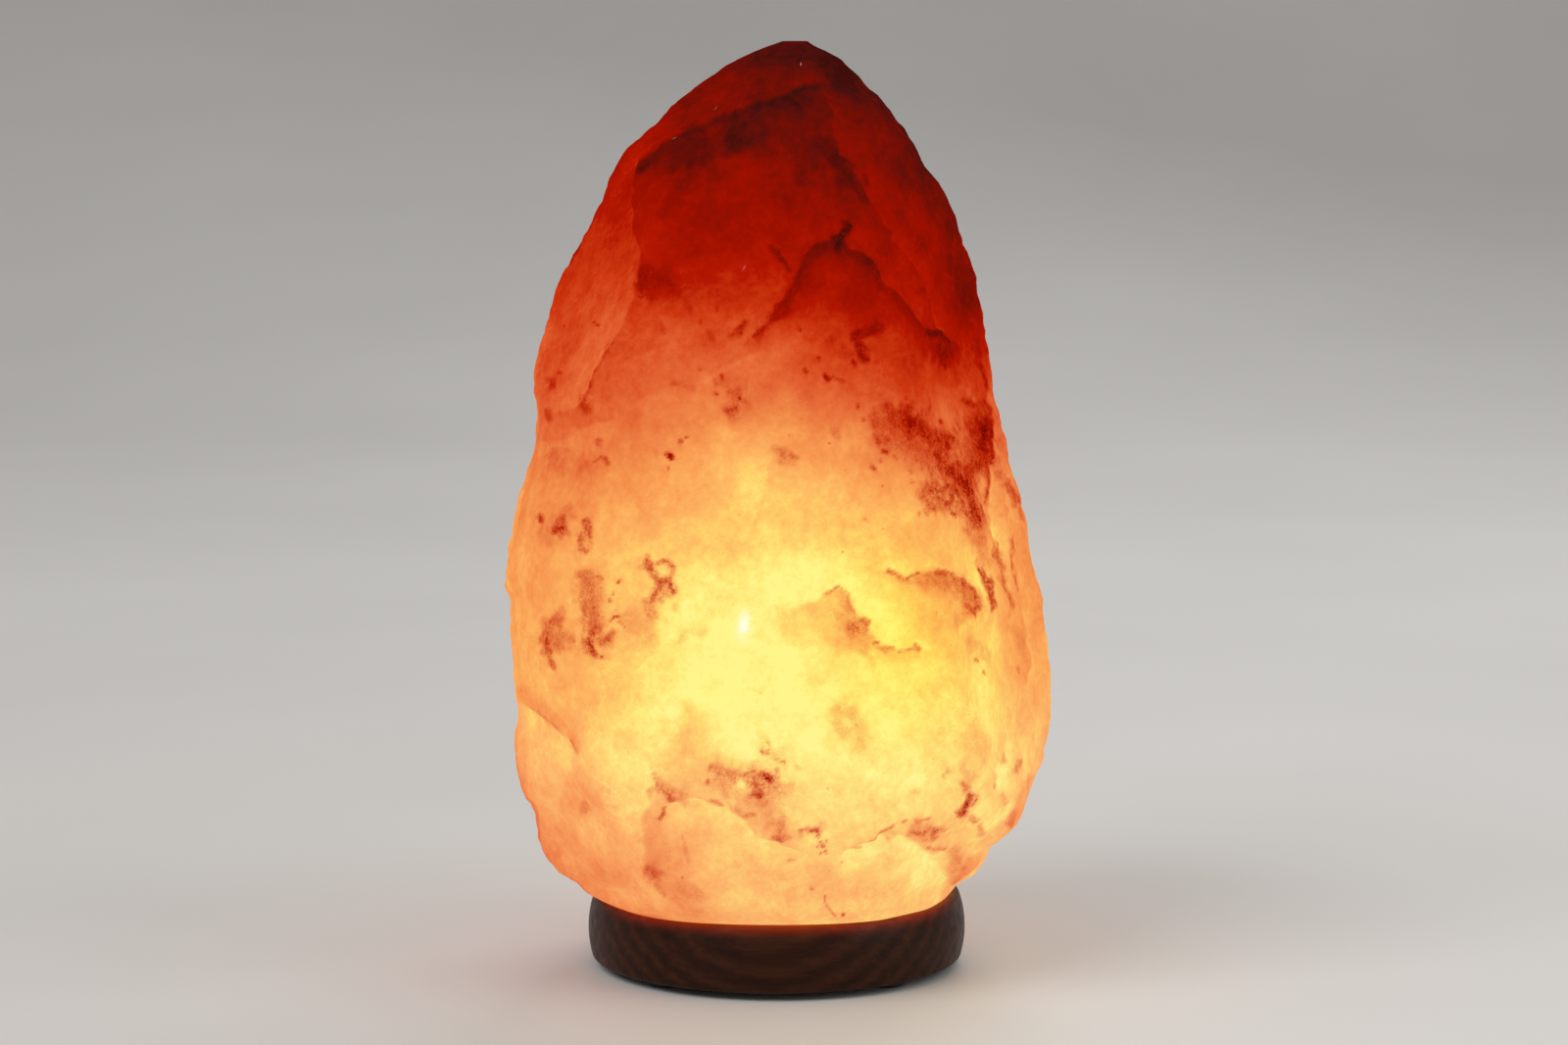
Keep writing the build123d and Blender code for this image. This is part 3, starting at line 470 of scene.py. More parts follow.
    ([(967, 450), (971, 457)], 3.2, 0.85), ([(962, 466), (967, 471)], 3.6, 0.75), ([(972, 478), (978, 486)], 3.6, 0.8),
    ([(958, 474), (962, 480)], 3, 0.5), ([(979, 470), (982, 474)], 3, 0.5), ([(975, 462), (978, 466)], 3, 0.35),
    ([(998, 434), (998, 470)], 17, 0.46), ([(1004, 430), (1005, 470)], 10, 0.55), ([(993, 478), (991, 496)], 8, 0.55),
    ([(1003, 430), (1004, 456)], 7, 0.85), ([(1003, 437), (1004, 447)], 4.5, 1.3), ([(1012, 430), (1013, 472)], 3, 0.85),
    ([(988, 492), (991, 501)], 4.5, 1.35), ([(1001, 478), (995, 489)], 4, 0.45), ([(1009, 478), (1010, 495), (1009, 512)], 1.8, 0.5),
    ([(985, 410), (992, 414)], 3, 0.5), ([(984, 408), (988, 412)], 2.5, 0.5),
    ([(945, 503), (975, 500)], 9, 0.37), ([(955, 514), (984, 518)], 8, 0.44), ([(972, 496), (980, 506)], 7, 0.5),
    ([(948, 502), (956, 500)], 2, 0.6), ([(954, 500), (960, 502), (966, 498)], 2.2, 0.75), ([(968, 495), (975, 501), (972, 506)], 3.5, 0.85),
    ([(958, 508), (966, 512)], 2.2, 0.75), ([(966, 514), (972, 512)], 2.6, 0.85), ([(950, 516), (954, 519)], 2.2, 0.75),
    ([(946, 510), (951, 512)], 2, 0.6), ([(972, 523), (976, 526)], 2.2, 0.7), ([(940, 507), (946, 505)], 3, 0.42),
    ([(980, 508), (984, 515)], 3.5, 0.7), ([(938, 522), (940, 526)], 1.6, 0.4), ([(944, 520), (948, 525)], 1.6, 0.5),
    ([(932, 490), (934, 492)], 2.2, 0.42), ([(941, 497), (944, 499)], 1.8, 0.4),
    ([(990, 505), (994, 515)], 4.5, 0.85), ([(992, 516), (996, 528)], 5, 1.0), ([(994, 528), (996, 537)], 4.5, 0.62),
    ([(1001, 515), (1003, 525)], 2.2, 0.65), ([(990, 508), (995, 532)], 10, 0.42), ([(985, 520), (990, 530)], 3, 0.6),
    ([(997, 548), (1003, 575)], 6, 0.22), ([(902, 459), (907, 461)], 2.2, 0.7), ([(912, 464), (916, 467)], 1.6, 0.5),
    ([(891, 475), (893, 478)], 2, 0.8), ([(882, 529), (885, 531)], 1.6, 0.45), ([(930, 480), (932, 482)], 1.4, 0.45),
    ([(938, 469), (941, 471)], 1.5, 0.45), ([(880, 427), (881, 429)], 1.4, 0.5), ([(851, 441), (855, 446)], 4, 0.3),
    ([(915, 452), (916, 453)], 1.3, 0.5), ([(925, 468), (926, 469)], 1.3, 0.5), ([(934, 460), (935, 461)], 1.2, 0.5),
    ([(906, 447), (909, 448)], 1.5, 0.5), ([(899, 469), (900, 470)], 1.2, 0.45), ([(948, 462), (950, 464)], 1.5, 0.5),
    # right side
    ([(1027, 494), (1032, 503), (1036, 512)], 4, 0.55), ([(1030, 500), (1034, 508)], 2.5, 0.65), ([(1033, 515), (1035, 517)], 2.5, 0.4),
    ([(1041, 520), (1043, 528)], 3, 0.36), ([(1030, 552), (1033, 560)], 3, 0.3), ([(1020, 482), (1022, 488)], 2.5, 0.2),
    ([(1000, 581), (1006, 592), (1011, 605), (1014, 620)], 2.8, 0.9), ([(1009, 608), (1012, 616)], 3, 1.0),
    ([(1014, 562), (1020, 580), (1023, 602)], 4.5, 0.46), ([(1013, 566), (1017, 574)], 3, 0.5), ([(1028, 606), (1034, 620)], 2, 0.42),
    ([(1031, 568), (1034, 580)], 2.2, 0.36), ([(1040, 595), (1042, 600)], 2, 0.45), ([(1036, 586), (1039, 592)], 1.6, 0.36),
    ([(990, 656), (1006, 668)], 7, 0.16), ([(997, 673), (998, 674)], 0.9, 0.9), ([(1005, 685), (1006, 687)], 0.9, 0.7),
    ([(1040, 680), (1041, 686)], 1.2, 0.26), ([(1036, 640), (1040, 660)], 4, 0.14),
    # shell
    ([(905, 582), (916, 586), (922, 592), (930, 587), (937, 584)], 1.4, 0.62), ([(957, 585), (968, 587)], 3.5, 0.52),
    ([(960, 582), (972, 585), (980, 590), (986, 596)], 1.6, 0.6), ([(984, 595), (994, 604), (999, 616), (995, 625)], 2.2, 0.68),
    ([(988, 619), (994, 622)], 3, 0.55), ([(984, 600), (986, 612)], 2.5, 0.42), ([(950, 590), (975, 596), (990, 610)], 9, 0.28),
    ([(986, 628), (978, 635)], 6, 0.24), ([(924, 592), (940, 596)], 3, 0.2), ([(935, 588), (945, 596)], 5, 0.16),
    # cloud
    ([(868, 640), (875, 644)], 4, 0.5), ([(879, 633), (884, 638)], 3.2, 0.5), ([(866, 637), (882, 646)], 10, 0.24),
    ([(842, 606), (855, 598), (865, 604), (866, 616), (872, 626)], 1.4, 0.34), ([(858, 604), (866, 622)], 5, 0.16),
    ([(882, 630), (887, 634), (884, 646)], 1.4, 0.42), ([(855, 628), (862, 636)], 5, 0.18), ([(892, 656), (896, 655)], 1.6, 0.6),
    ([(904, 661), (911, 661)], 2.4, 0.5), ([(934, 658), (939, 662)], 1.6, 0.55), ([(918, 665), (930, 662)], 1.3, 0.36),
    ([(896, 660), (904, 664)], 3, 0.2), ([(828, 620), (846, 626)], 6, 0.1), ([(880, 664), (890, 672)], 4, 0.1),
    ([(856, 724), (868, 726), (874, 738)], 7, 0.16), ([(854, 740), (864, 746)], 7, 0.15), ([(879, 756), (878, 764)], 6, 0.11), ([(858, 732), (874, 746)], 13, 0.04),
    # low middle
    ([(666, 788), (669, 796), (671, 804)], 1.1, 0.55), ([(674, 806), (684, 814)], 5, 0.46), ([(681, 811), (684, 817)], 3.2, 0.85),
    ([(684, 808), (696, 810)], 3, 0.22), ([(674, 804), (690, 812)], 8, 0.24), ([(676, 826), (672, 836)], 1.4, 0.6),
    ([(671, 838), (673, 836)], 1.6, 0.85), ([(664, 806), (664, 814)], 3, 0.22),
    ([(694, 854), (699, 868), (703, 880)], 2.0, 0.16),
    ([(662, 888), (668, 894)], 6, 0.38), ([(664, 888), (668, 895)], 3, 0.46), ([(668, 850), (672, 880)], 13, 0.08),
    ([(668, 902), (676, 916)], 2, 0.22), ([(696, 908), (711, 917)], 9, 0.13), ([(709, 912), (711, 918)], 3, 0.18),
    ([(729, 782), (736, 788), (742, 790)], 5.5, 0.46), ([(730, 783), (734, 788)], 2.5, 0.5), ([(734, 790), (746, 796)], 5, 0.24),
    ([(720, 798), (722, 797)], 2, 0.55), ([(748, 797), (752, 793), (762, 790), (770, 786)], 1.3, 0.5),
    ([(749, 799), (750, 800)], 1.4, 0.6), ([(776, 791), (784, 793), (788, 796)], 4.2, 1.15), ([(782, 794), (787, 796)], 2.4, 1.35),
    ([(770, 798), (778, 804), (774, 811)], 4, 0.6), ([(770, 808), (775, 811)], 3.4, 0.95), ([(768, 797), (772, 803)], 3, 0.6), ([(768, 795), (790, 806)], 12, 0.3),
    ([(774, 798), (777, 801)], 1.8, 0.85), ([(793, 786), (794, 796)], 2.4, 0.32), ([(766, 800), (768, 806)], 3, 0.36),
    ([(784, 756), (785, 764), (780, 768), (786, 770)], 1.6, 0.34), ([(788, 772), (794, 776), (800, 778)], 1.5, 0.38), ([(778, 758), (790, 772)], 8, 0.11),
    ([(776, 764), (778, 770)], 1.5, 0.36), ([(812, 781), (816, 785)], 2, 0.18), ([(768, 778), (768, 784)], 2, 0.2),
    ([(726, 818), (735, 822)], 2.5, 0.36), ([(752, 826), (758, 832), (770, 830)], 3, 0.4), ([(745, 810), (790, 822)], 12, 0.13),
    ([(780, 824), (788, 838)], 6, 0.2), ([(796, 839), (797, 852)], 6, 0.36), ([(790, 854), (797, 857)], 3, 0.6),
    ([(735, 800), (740, 812)], 4, 0.22), ([(755, 811), (775, 814)], 2, 0.2),
    ([(816, 847), (826, 846), (834, 848)], 2.2, 0.5), ([(828, 848), (834, 848)], 2, 0.8), ([(818, 850), (838, 844)], 5, 0.16),
    ([(834, 853), (835, 854)], 0.9, 0.7), ([(836, 858), (837, 859)], 0.9, 0.8), ([(839, 862), (840, 864)], 1.0, 0.8), ([(842, 868), (843, 870)], 1.0, 0.8), ([(835, 864), (836, 865)], 0.9, 0.7), ([(843, 857), (844, 858)], 0.8, 0.6), ([(837, 870), (838, 871)], 0.8, 0.7),
    ([(804, 881), (810, 880)], 1.2, 0.3), ([(596, 822), (598, 826)], 4, 0.28), ([(581, 760), (584, 766)], 3, 0.36),
    ([(545, 727), (566, 744)], 4, 0.2), ([(842, 915), (843, 924), (847, 929), (853, 935)], 0.8, 0.5),
    ([(860, 934), (861, 934)], 1.4, 0.9), ([(828, 907), (829, 908)], 1.3, 0.5),
    # low right
    ([(982, 799), (986, 804), (984, 808)], 3, 0.5), ([(991, 812), (987, 820), (982, 829)], 4.2, 0.95),
    ([(992, 822), (996, 816)], 1.5, 0.6), ([(979, 830), (982, 826)], 2, 0.8), ([(993, 834), (995, 840)], 3, 0.36),
    ([(1001, 845), (1003, 851)], 3, 0.36), ([(962, 789), (967, 785)], 2.4, 0.26), ([(982, 786), (988, 791)], 5, 0.16),
    ([(934, 807), (936, 808)], 2, 0.2), ([(884, 861), (892, 856), (900, 851)], 1.2, 0.36), ([(898, 851), (906, 847), (912, 843)], 1.3, 0.46),
    ([(921, 840), (924, 836)], 1.2, 0.45), ([(906, 855), (914, 853)], 4, 0.2), ([(870, 866), (880, 866)], 1.3, 0.3),
    ([(934, 849), (944, 851)], 3, 0.5), ([(948, 846), (956, 850), (954, 856)], 3.5, 0.5), ([(930, 848), (938, 852)], 1.5, 0.5),
    ([(940, 836), (946, 834)], 1.4, 0.42), ([(932, 835), (938, 838)], 1.4, 0.36), ([(935, 846), (956, 852)], 9, 0.22),
    ([(958, 848), (965, 848)], 1.3, 0.6), ([(944, 858), (952, 860)], 2, 0.3), ([(948, 866), (956, 868), (968, 867)], 1.4, 0.4),
    ([(974, 872), (978, 884)], 7, 0.23), ([(972, 873), (978, 876)], 3, 0.28), ([(972, 890), (975, 900)], 6, 0.18),
    ([(1017, 804), (1019, 800)], 1.6, 0.4), ([(1026, 812), (1030, 818)], 4, 0.2), ([(1027, 770), (1028, 776)], 3, 0.26),
    ([(1042, 776), (1040, 786)], 2.5, 0.36), ([(1040, 848), (1032, 842)], 4, 0.3),
]
# Glow spots seen from the front: centre, half width and height, strength.
SPOTS = [
    (940, 700, 60, 56, 0.09), (795, 740, 60, 40, 0.03), (800, 585, 40, 28, 0.05),
    (690, 680, 50, 40, 0.04), (759, 640, 20, 32, 0.05), (905, 165, 34, 60, 0.02),
    (860, 450, 46, 26, 0.06), (980, 325, 26, 70, -0.20),
    (795, 58, 60, 12, -0.05), (795, 350, 34, 26, 0.10), (905, 420, 18, 14, 0.07), (925, 610, 60, 40, 0.06), (905, 345, 30, 24, 0.05), (858, 430, 40, 26, 0.05), (640, 430, 60, 30, -0.04), (770, 220, 90, 60, -0.03),
    (900, 520, 80, 40, 0.10), (925, 620, 70, 70, 0.08), (940, 790, 60, 60, 0.08),
    (580, 350, 30, 70, -0.08), (600, 480, 50, 40, -0.08), (705, 240, 34, 36, -0.08),
    (1042, 650, 26, 130, -0.15), (765, 470, 46, 36, 0.12), (650, 780, 40, 60, 0.09),
    (860, 905, 120, 22, -0.07), (620, 895, 30, 20, -0.08), (880, 200, 60, 60, 0.04),
    (870, 250, 16, 20, 0.05), (850, 350, 40, 30, 0.03), (910, 300, 22, 22, 0.05),
    (568, 410, 20, 40, -0.09), (545, 540, 25, 100, -0.07), (985, 880, 26, 26, -0.12),
    (720, 300, 30, 20, -0.07), (872, 305, 20, 20, -0.07), (1004, 452, 10, 40, -0.04),
    (1022, 545, 14, 24, 0.05), (690, 640, 30, 20, 0.03), (990, 662, 14, 20, -0.07), (975, 325, 22, 60, 0.07), (836, 100, 22, 14, 0.05), (850, 135, 26, 30, 0.03), (800, 180, 50, 40, 0.02),
    (860, 485, 36, 24, 0.04), (862, 580, 30, 30, 0.05), (942, 640, 22, 18, -0.07), (1005, 725, 50, 60, 0.045), (800, 885, 46, 26, -0.055),
    (925, 918, 44, 16, -0.06), (740, 842, 30, 18, -0.03), (975, 850, 24, 24, -0.05), (980, 890, 22, 20, -0.03), (700, 235, 40, 30, 0.03), (570, 850, 24, 40, -0.08), (850, 660, 30, 20, -0.06),
    (905, 130, 40, 28, 0.045), (1000, 352, 18, 20, 0.07), (1003, 402, 18, 14, -0.03), (1020, 562, 14, 14, 0.04),
    (668, 460, 40, 22, 0.035), (792, 424, 30, 36, 0.035), (528, 638, 12, 30, -0.05), (552, 373, 10, 16, -0.05),
    (1005, 573, 12, 14, -0.04), (1002, 631, 12, 16, -0.035), (824, 831, 16, 12, -0.04), (768, 334, 16, 14, 0.04),
    (858, 340, 14, 12, -0.03), (948, 582, 16, 10, 0.03), (704, 597, 14, 12, -0.03), (947, 889, 14, 10, -0.03), (572, 394, 14, 16, 0.03), (655, 412, 24, 14, 0.03),
    (898, 230, 20, 18, 0.035), (860, 283, 14, 12, 0.05), (586, 296, 20, 46, 0.03), (615, 775, 24, 30, 0.04), (590, 818, 22, 36, -0.05), (548, 746, 14, 14, -0.035), (576, 716, 14, 10, 0.05),
    (862, 74, 14, 14, -0.05), (1022, 602, 12, 18, 0.04), (600, 884, 26, 20, -0.05), (977, 285, 16, 20, 0.045),
]
# The coil of the lamp, seen through the salt: centre, half width and height.
COIL = (759, 636, 6.5, 13)
# Painted highlights: glints of tiny crystal faces, painted as pale dots in the glow colour: place and strength.
PAINTED_GLINTS = [(817, 67, 1.0), (688, 140, 0.6), (758, 270, 0.4), (729, 109, 0.5)]


# Cloudy bands seen from the front: line, half width, change of glow.
BANDS = [
    ([(668, 828), (664, 850), (668, 880), (684, 905), (696, 916)], 16, -0.015),
    ([(603, 586), (606, 636)], 11, -0.04), ([(646, 160), (662, 147), (684, 129)], 9, 0.025),
    ([(812, 638), (840, 626), (856, 614)], 15, -0.03), ([(856, 614), (872, 640)], 12, -0.03),
    ([(840, 640), (880, 652)], 13, -0.03), ([(948, 594), (975, 604), (985, 618)], 14, -0.05),
    ([(728, 790), (760, 800), (790, 800)], 20, -0.02), ([(770, 820), (798, 846)], 13, -0.05),
    ([(690, 800), (730, 800)], 14, -0.02), ([(935, 848), (955, 858)], 13, -0.03),
    ([(972, 876), (976, 892)], 11, -0.02), ([(856, 728), (868, 738), (878, 760)], 16, -0.015),
    ([(568, 636), (572, 655)], 13, -0.03), ([(925, 436), (945, 446), (965, 455), (985, 485)], 19, -0.03),
    ([(1000, 420), (1003, 465)], 13, -0.05), ([(1014, 520), (1020, 600), (1026, 640)], 7, -0.04),
    ([(660, 270), (676, 288)], 18, -0.04), ([(756, 800), (757, 801)], 4, 0.05), ([(672, 585), (676, 584)], 3.5, 0.04),
    ([(987, 400), (997, 413), (1003, 427)], 2.2, 0.06), ([(1003, 484), (1005, 508)], 3, 0.04), ([(986, 484), (992, 505), (997, 545)], 14, -0.07),
    ([(703, 720), (703, 766)], 8, -0.03),
    ([(1040, 838), (1028, 848), (1014, 860), (1002, 880), (984, 900), (970, 914)], 10, -0.10),
    ([(1070, 745), (1066, 760), (1060, 780), (1053, 800)], 6, -0.05),
    ([(1053, 800), (1047, 820), (1040, 838)], 9, -0.12),
    ([(540, 468), (531, 500), (524, 540), (517, 580), (519, 620), (523, 660), (526, 700)], 8, -0.05),
    ([(672, 163), (700, 155), (725, 150), (770, 132)], 15, -0.055), ([(688, 178), (722, 178)], 16, -0.03),
    ([(534, 708), (548, 718), (562, 733), (574, 746), (586, 761)], 8, -0.05),
    ([(640, 640), (662, 650)], 12, -0.02), ([(575, 455), (580, 475)], 14, -0.02),
]


def jagged(pts, amount, seed):
    """The same line with small random corners."""
    rng = np.random.default_rng(seed)
    out = [pts[0]]
    for (x0, y0), (x1, y1) in zip(pts, pts[1:]):
        length = math.hypot(x1 - x0, y1 - y0)
        parts = max(1, int(length / 7))
        for k in range(1, parts):
            t = (k + rng.uniform(-0.3, 0.3)) / parts
            off = rng.normal(0, amount) / length
            out.append((x0 + t * (x1 - x0) - off * (y1 - y0), y0 + t * (y1 - y0) + off * (x1 - x0)))
        out.append((x1, y1))
    return out


def around(u, v, pts, reach):
    x, y = [p[0] for p in pts], [p[1] for p in pts]
    return (
        (u > min(x) - reach) & (u < max(x) + reach) & (v > min(y) - reach) & (v < max(y) + reach)
    )


def apply_lines(u, v, rough, ledges, stains, bands, spots):
    """Step height, glow change and stain of the drawn features. Stains and
    bands are looked up with their own roughened position."""
    lift = np.zeros(u.shape)
    glow = np.zeros(u.shape)
    stain = np.zeros(u.shape)
    halo = np.zeros(u.shape)
    for k, (pts, step_side, step, fade, g1, f1, g2, f2) in enumerate(ledges):
        at = around(u, v, pts, 3.2 * max(fade, f1))
        d, side, past = line_of(u[at], v[at], jagged(pts, 1.7, 900 + k))
        sd = d * side * step_side
        ends = np.exp(-(past / 16.0) ** 2)
        on = smooth(-2.2, 2.2, sd)
        lift[at] += step * on * np.exp(-d / fade) * ends
        glow[at] += (g1 * on * np.exp(-d / f1) + g2 * (1 - on) * np.exp(-d / f2)) * ends
    u, v = u + rough[0], v + rough[1]
    for pts, half, strength in stains:
        at = around(u, v, pts, 5 * half + 4)
        d, _, _ = line_of(u[at], v[at], pts)
        d = d * rough[2][at]
        stain[at] = np.maximum(stain[at], strength * (1 - smooth(0.2 * half, 1.6 * half, d)))
        halo[at] += 0.08 * strength * np.exp(-((d / (half * 2.3)) ** 2))
    for pts, half, change in bands:
        at = around(u, v, pts, 2 * half + 4)
        d, _, _ = line_of(u[at], v[at], pts)
        glow[at] += change * (1 - smooth(0.65 * half, 1.3 * half, d))
    for x, y, hw, hh, s in spots:
        glow += s * np.exp(-(((u - x) / hw) ** 2 + ((v - y) / hh) ** 2))
    return lift, glow, stain + np.minimum(halo, 0.3) * (1 - np.minimum(stain, 1))


def scattered(seed):
    """Features of the sides that are drawn at random."""
    rng = np.random.default_rng(seed)
    ledges, stains, bands = [], [], []
    for _ in range(13):
        x, y = rng.uniform(570, 1020), rng.uniform(130, 880)
        a = rng.uniform(0, 2 * np.pi)
        pts = []
        for _ in range(rng.integers(5, 10)):
            pts.append((x, y))
            step = rng.uniform(12, 26)
            x, y = x + step * math.cos(a), y + step * math.sin(a)
            a += rng.normal(0, 0.5)
        s = 1 if rng.random() < 0.5 else -1
        up = rng.uniform(-2.2, 1.2)
        ledges.append((pts, s, up, rng.uniform(30, 80), -0.05 * up + rng.normal(0, 0.03),
                       rng.uniform(20, 40), rng.normal(0, 0.03), 16))
    def walk(x, y, a, steps, stride, bend):
        pts = [(x, y)]
        for _ in range(steps):
            step = stride * rng.uniform(0.6, 1.4)
            x, y = x + step * math.cos(a), y + step * math.sin(a)
            pts.append((x, y))
            a += rng.normal(0, bend)
        return pts

    # broad grainy patches with a few dark cores and one crisp edge
    for _ in range(5):
        x, y, a = rng.uniform(570, 1020), rng.uniform(140, 860), rng.uniform(0, 2 * np.pi)
        size = rng.uniform(6, 15)
        spine = walk(x, y, a, rng.integers(2, 5), 1.5 * size, 0.5)
        stains.append((spine, size, rng.uniform(0.2, 0.36)))
        bands.append((spine, 1.3 * size, rng.uniform(-0.06, -0.02)))
        for px, py in spine:
            for _ in range(rng.integers(1, 4)):
                core = walk(px + rng.normal(0, 0.5 * size), py + rng.normal(0, 0.5 * size),
                            rng.uniform(0, 2 * np.pi), rng.integers(1, 4), 4.5, 0.9)
                stains.append((core, rng.uniform(1.6, 4.5), rng.uniform(0.4, 0.95)))
        away = (math.sin(a) * size, -math.cos(a) * size)
        ledges.append(([(px + away[0], py + away[1]) for px, py in spine], 1, -0.3, 18, -0.045, 16, 0.02, 8))
    # small feathery groups
    for _ in range(10):
        x, y, a = rng.uniform(540, 1050), rng.uniform(110, 900), rng.uniform(0, 2 * np.pi)
        stains.append((walk(x, y, a, 2, 7, 0.6), rng.uniform(4, 9), rng.uniform(0.14, 0.3)))
        for _ in range(rng.integers(1, 4)):
            line = walk(x + rng.normal(0, 8), y + rng.normal(0, 7), a + rng.normal(0, 0.7), rng.integers(1, 4), 6, 0.7)
            stains.append((line, rng.uniform(1.4, 4.0), rng.uniform(0.3, 0.75)))
    # thin veins and specks
    for _ in range(7):
        x, y = rng.uniform(540, 1050), rng.uniform(110, 900)
        stains.append((walk(x, y, rng.uniform(0, 2 * np.pi), rng.integers(4, 9), 7, 0.5),
                       rng.uniform(1.1, 1.6), rng.uniform(0.25, 0.5)))
    for _ in range(14):
        x, y = rng.uniform(530, 1060), rng.uniform(110, 900)
        for _ in range(rng.integers(1, 5)):
            px, py = x + rng.normal(0, 9), y + rng.normal(0, 9)
            stains.append(([(px, py), (px + rng.normal(0, 1.5), py + 1.0)], rng.uniform(1.1, 2.2), rng.uniform(0.4, 0.9)))
    for _ in range(8):
        x, y = rng.uniform(540, 1050), rng.uniform(110, 900)
        pts = [(x, y), (x + rng.normal(0, 20), y + rng.normal(0, 30))]
        bands.append((pts, rng.uniform(10, 30), rng.uniform(-0.07, 0.06)))
    return ledges, stains, bands


VIEWS = ((0.0, None), (math.pi, 71), (math.pi / 2, 72), (-math.pi / 2, 73))
DRAWN = [(LEDGES, STAINS, BANDS, SPOTS)] + [(*scattered(seed), []) for _, seed in VIEWS[1:]]


def shares(p, n):
    """How much a point takes of the features drawn for each side."""
    front = smooth(0.04, 0.2, facing(p, n, 0.0))
    out, covered = [front], front.copy()
    for turn, _ in VIEWS[1:]:
        share = smooth(0.25, 0.5, facing(p, n, turn)) * (1 - covered)
        covered = np.maximum(covered, share)
        out.append(share)
    return out


def busy(u, v, ledges, stains):
    """Above zero close to a drawn ledge or stain."""
    out = np.zeros(u.shape)
    for pts, *_ in ledges:
        at = around(u, v, pts, 20)
        out[at] = np.maximum(out[at], 1.0 - line_of(u[at], v[at], pts)[0] / 10)
    for pts, half, strength in stains:
        at = around(u, v, pts, 3 * half + 12)
        d = line_of(u[at], v[at], pts)[0]
        out[at] = np.maximum(out[at], 1.1 + 0.4 * strength - d / (1.25 * half + 5))
    return out


def midway(p, axis):
    """Point halfway to the next one on a smooth line through its neighbours."""
    step = [np.roll(p, -k, axis) for k in (-1, 0, 1, 2)]
    return (9 * (step[1] + step[2]) - step[0] - step[3]) / 16


# The skin is a net of rings and columns, with the faces quartered where a ledge
# or a stain is drawn.
FINE = 10600
n0 = normals(skin)
M = len(skin)
on_ring, on_col = midway(skin, 1), midway(skin, 0)[:-1]
middle = midway(on_col, 1)
n_ring = (n0 + np.roll(n0, -1, 1)) / 2
n_col = (n0[:-1] + n0[1:]) / 2
n_mid = (n_ring[:-1] + n_ring[1:]) / 2
score = np.zeros(middle.shape[:2])
for (turn, seed), share, (ledges, stains, _, _) in zip(VIEWS, shares(middle, n_mid), DRAWN):
    u, v = to_frame(middle, turn)
    score += np.where(share > 0.3, (1.0 if seed is None else 0.75) * busy(u, v, ledges, stains), 0)
score[:4] = 0
score[-4:] = 0
chosen = np.argsort(-score.ravel(), kind="stable")[:FINE]
fine = np.zeros(score.size, bool)
fine[chosen] = score.ravel()[chosen] > 0
fine = fine.reshape(score.shape)
has_ring = np.zeros((M, STEPS), bool)
has_ring[:-1] |= fine
has_ring[1:] |= fine
has_col = fine | np.roll(fine, 1, 1)
grid = np.arange(M * STEPS).reshape(M, STEPS)
count = M * STEPS
ids = []
for has in (has_ring, has_col, fine):
    number = np.full(has.shape, -1)
    number[has] = count + np.arange(has.sum())
    count += int(has.sum())
    ids.append(number)
id_ring, id_col, id_mid = ids
skin = np.concatenate([skin.reshape(-1, 3), on_ring[has_ring], on_col[has_col], middle[fine]])
n0 = np.concatenate([n0.reshape(-1, 3), n_ring[has_ring], n_col[has_col], n_mid[fine]])
n0 /= np.linalg.norm(n0, axis=-1, keepdims=True)
height = skin[:, 2]

wander = np.stack(
    [fbm(skin, 11.0, 2, 51), fbm(skin, 11.0, 2, 52), fbm(skin, 3.6, 2, 53), fbm(skin, 3.6, 2, 54)],
    -1,
)
ragged = np.clip(1 + 0.6 * fbm(skin, 4.2, 2, 55) + 0.5 * fbm(skin, 1.9, 1, 56), 0.55, 1.8)
rough = (1.3 * wander[:, 0] + 1.6 * wander[:, 2], 1.3 * wander[:, 1] + 1.6 * wander[:, 3], ragged)
lift = np.zeros(count)
glow_add = np.zeros(count)
stain = np.zeros(count)
portions = shares(skin, n0)
front = portions[0]
for (turn, seed), share, drawn in zip(VIEWS, portions, DRAWN):
    u, v = to_frame(skin, turn)
    if seed is not None:
        u = u + 6 * wander[:, 0]
        v = v + 6 * wander[:, 1]
    got = apply_lines(u, v, rough, *drawn)
    lift += share * got[0]
    glow_add += share * got[1]
    stain += share * got[2]

# weathered skin: broad hollows, cleavage steps, crumbs
f1, f2, val = cells(skin + 2.5 * wander[:, :3], 17.0, 7)
g1, g2, gval = cells(skin + 1.2 * wander[:, 1:4], 6.5, 9)
relief = (
    1.0 * fbm(skin, 30.0, 2, 11)
    + 1.1 * (val - 0.5) * smooth(0.0, 0.22, f2 - f1)
    + 0.75 * fbm(skin, 9.0, 3, 12)
    + 0.42 * (gval - 0.5) * smooth(0.0, 0.3, g2 - g1)
    + 0.34 * fbm(skin, 3.4, 2, 13)
)
calm = smooth(0.0, 9.0, height - Z0)           # flat where it stands on the base
tip = smooth(0.0, 4.0, Z1 - height)
move = (lift + relief) * (0.15 + 0.85 * calm) * tip
outer = skin + n0 * np.minimum(move, 1.2)[:, None]
outer[:, 2] = np.clip(outer[:, 2], Z0, Z1)
# the bulges ease off towards the lamp's largest width and depth
for k, (low, high) in enumerate(((-71.5, 72.85), (-62.8, 64.9))):
    ease = 1.2
    past = np.maximum(outer[:, k] - high + ease, 0)
    short = np.maximum(low + ease - outer[:, k], 0)
    outer[:, k] += ease * (np.tanh(past / ease) - np.tanh(short / ease)) - past + short
outer[:STEPS, 2] = Z0

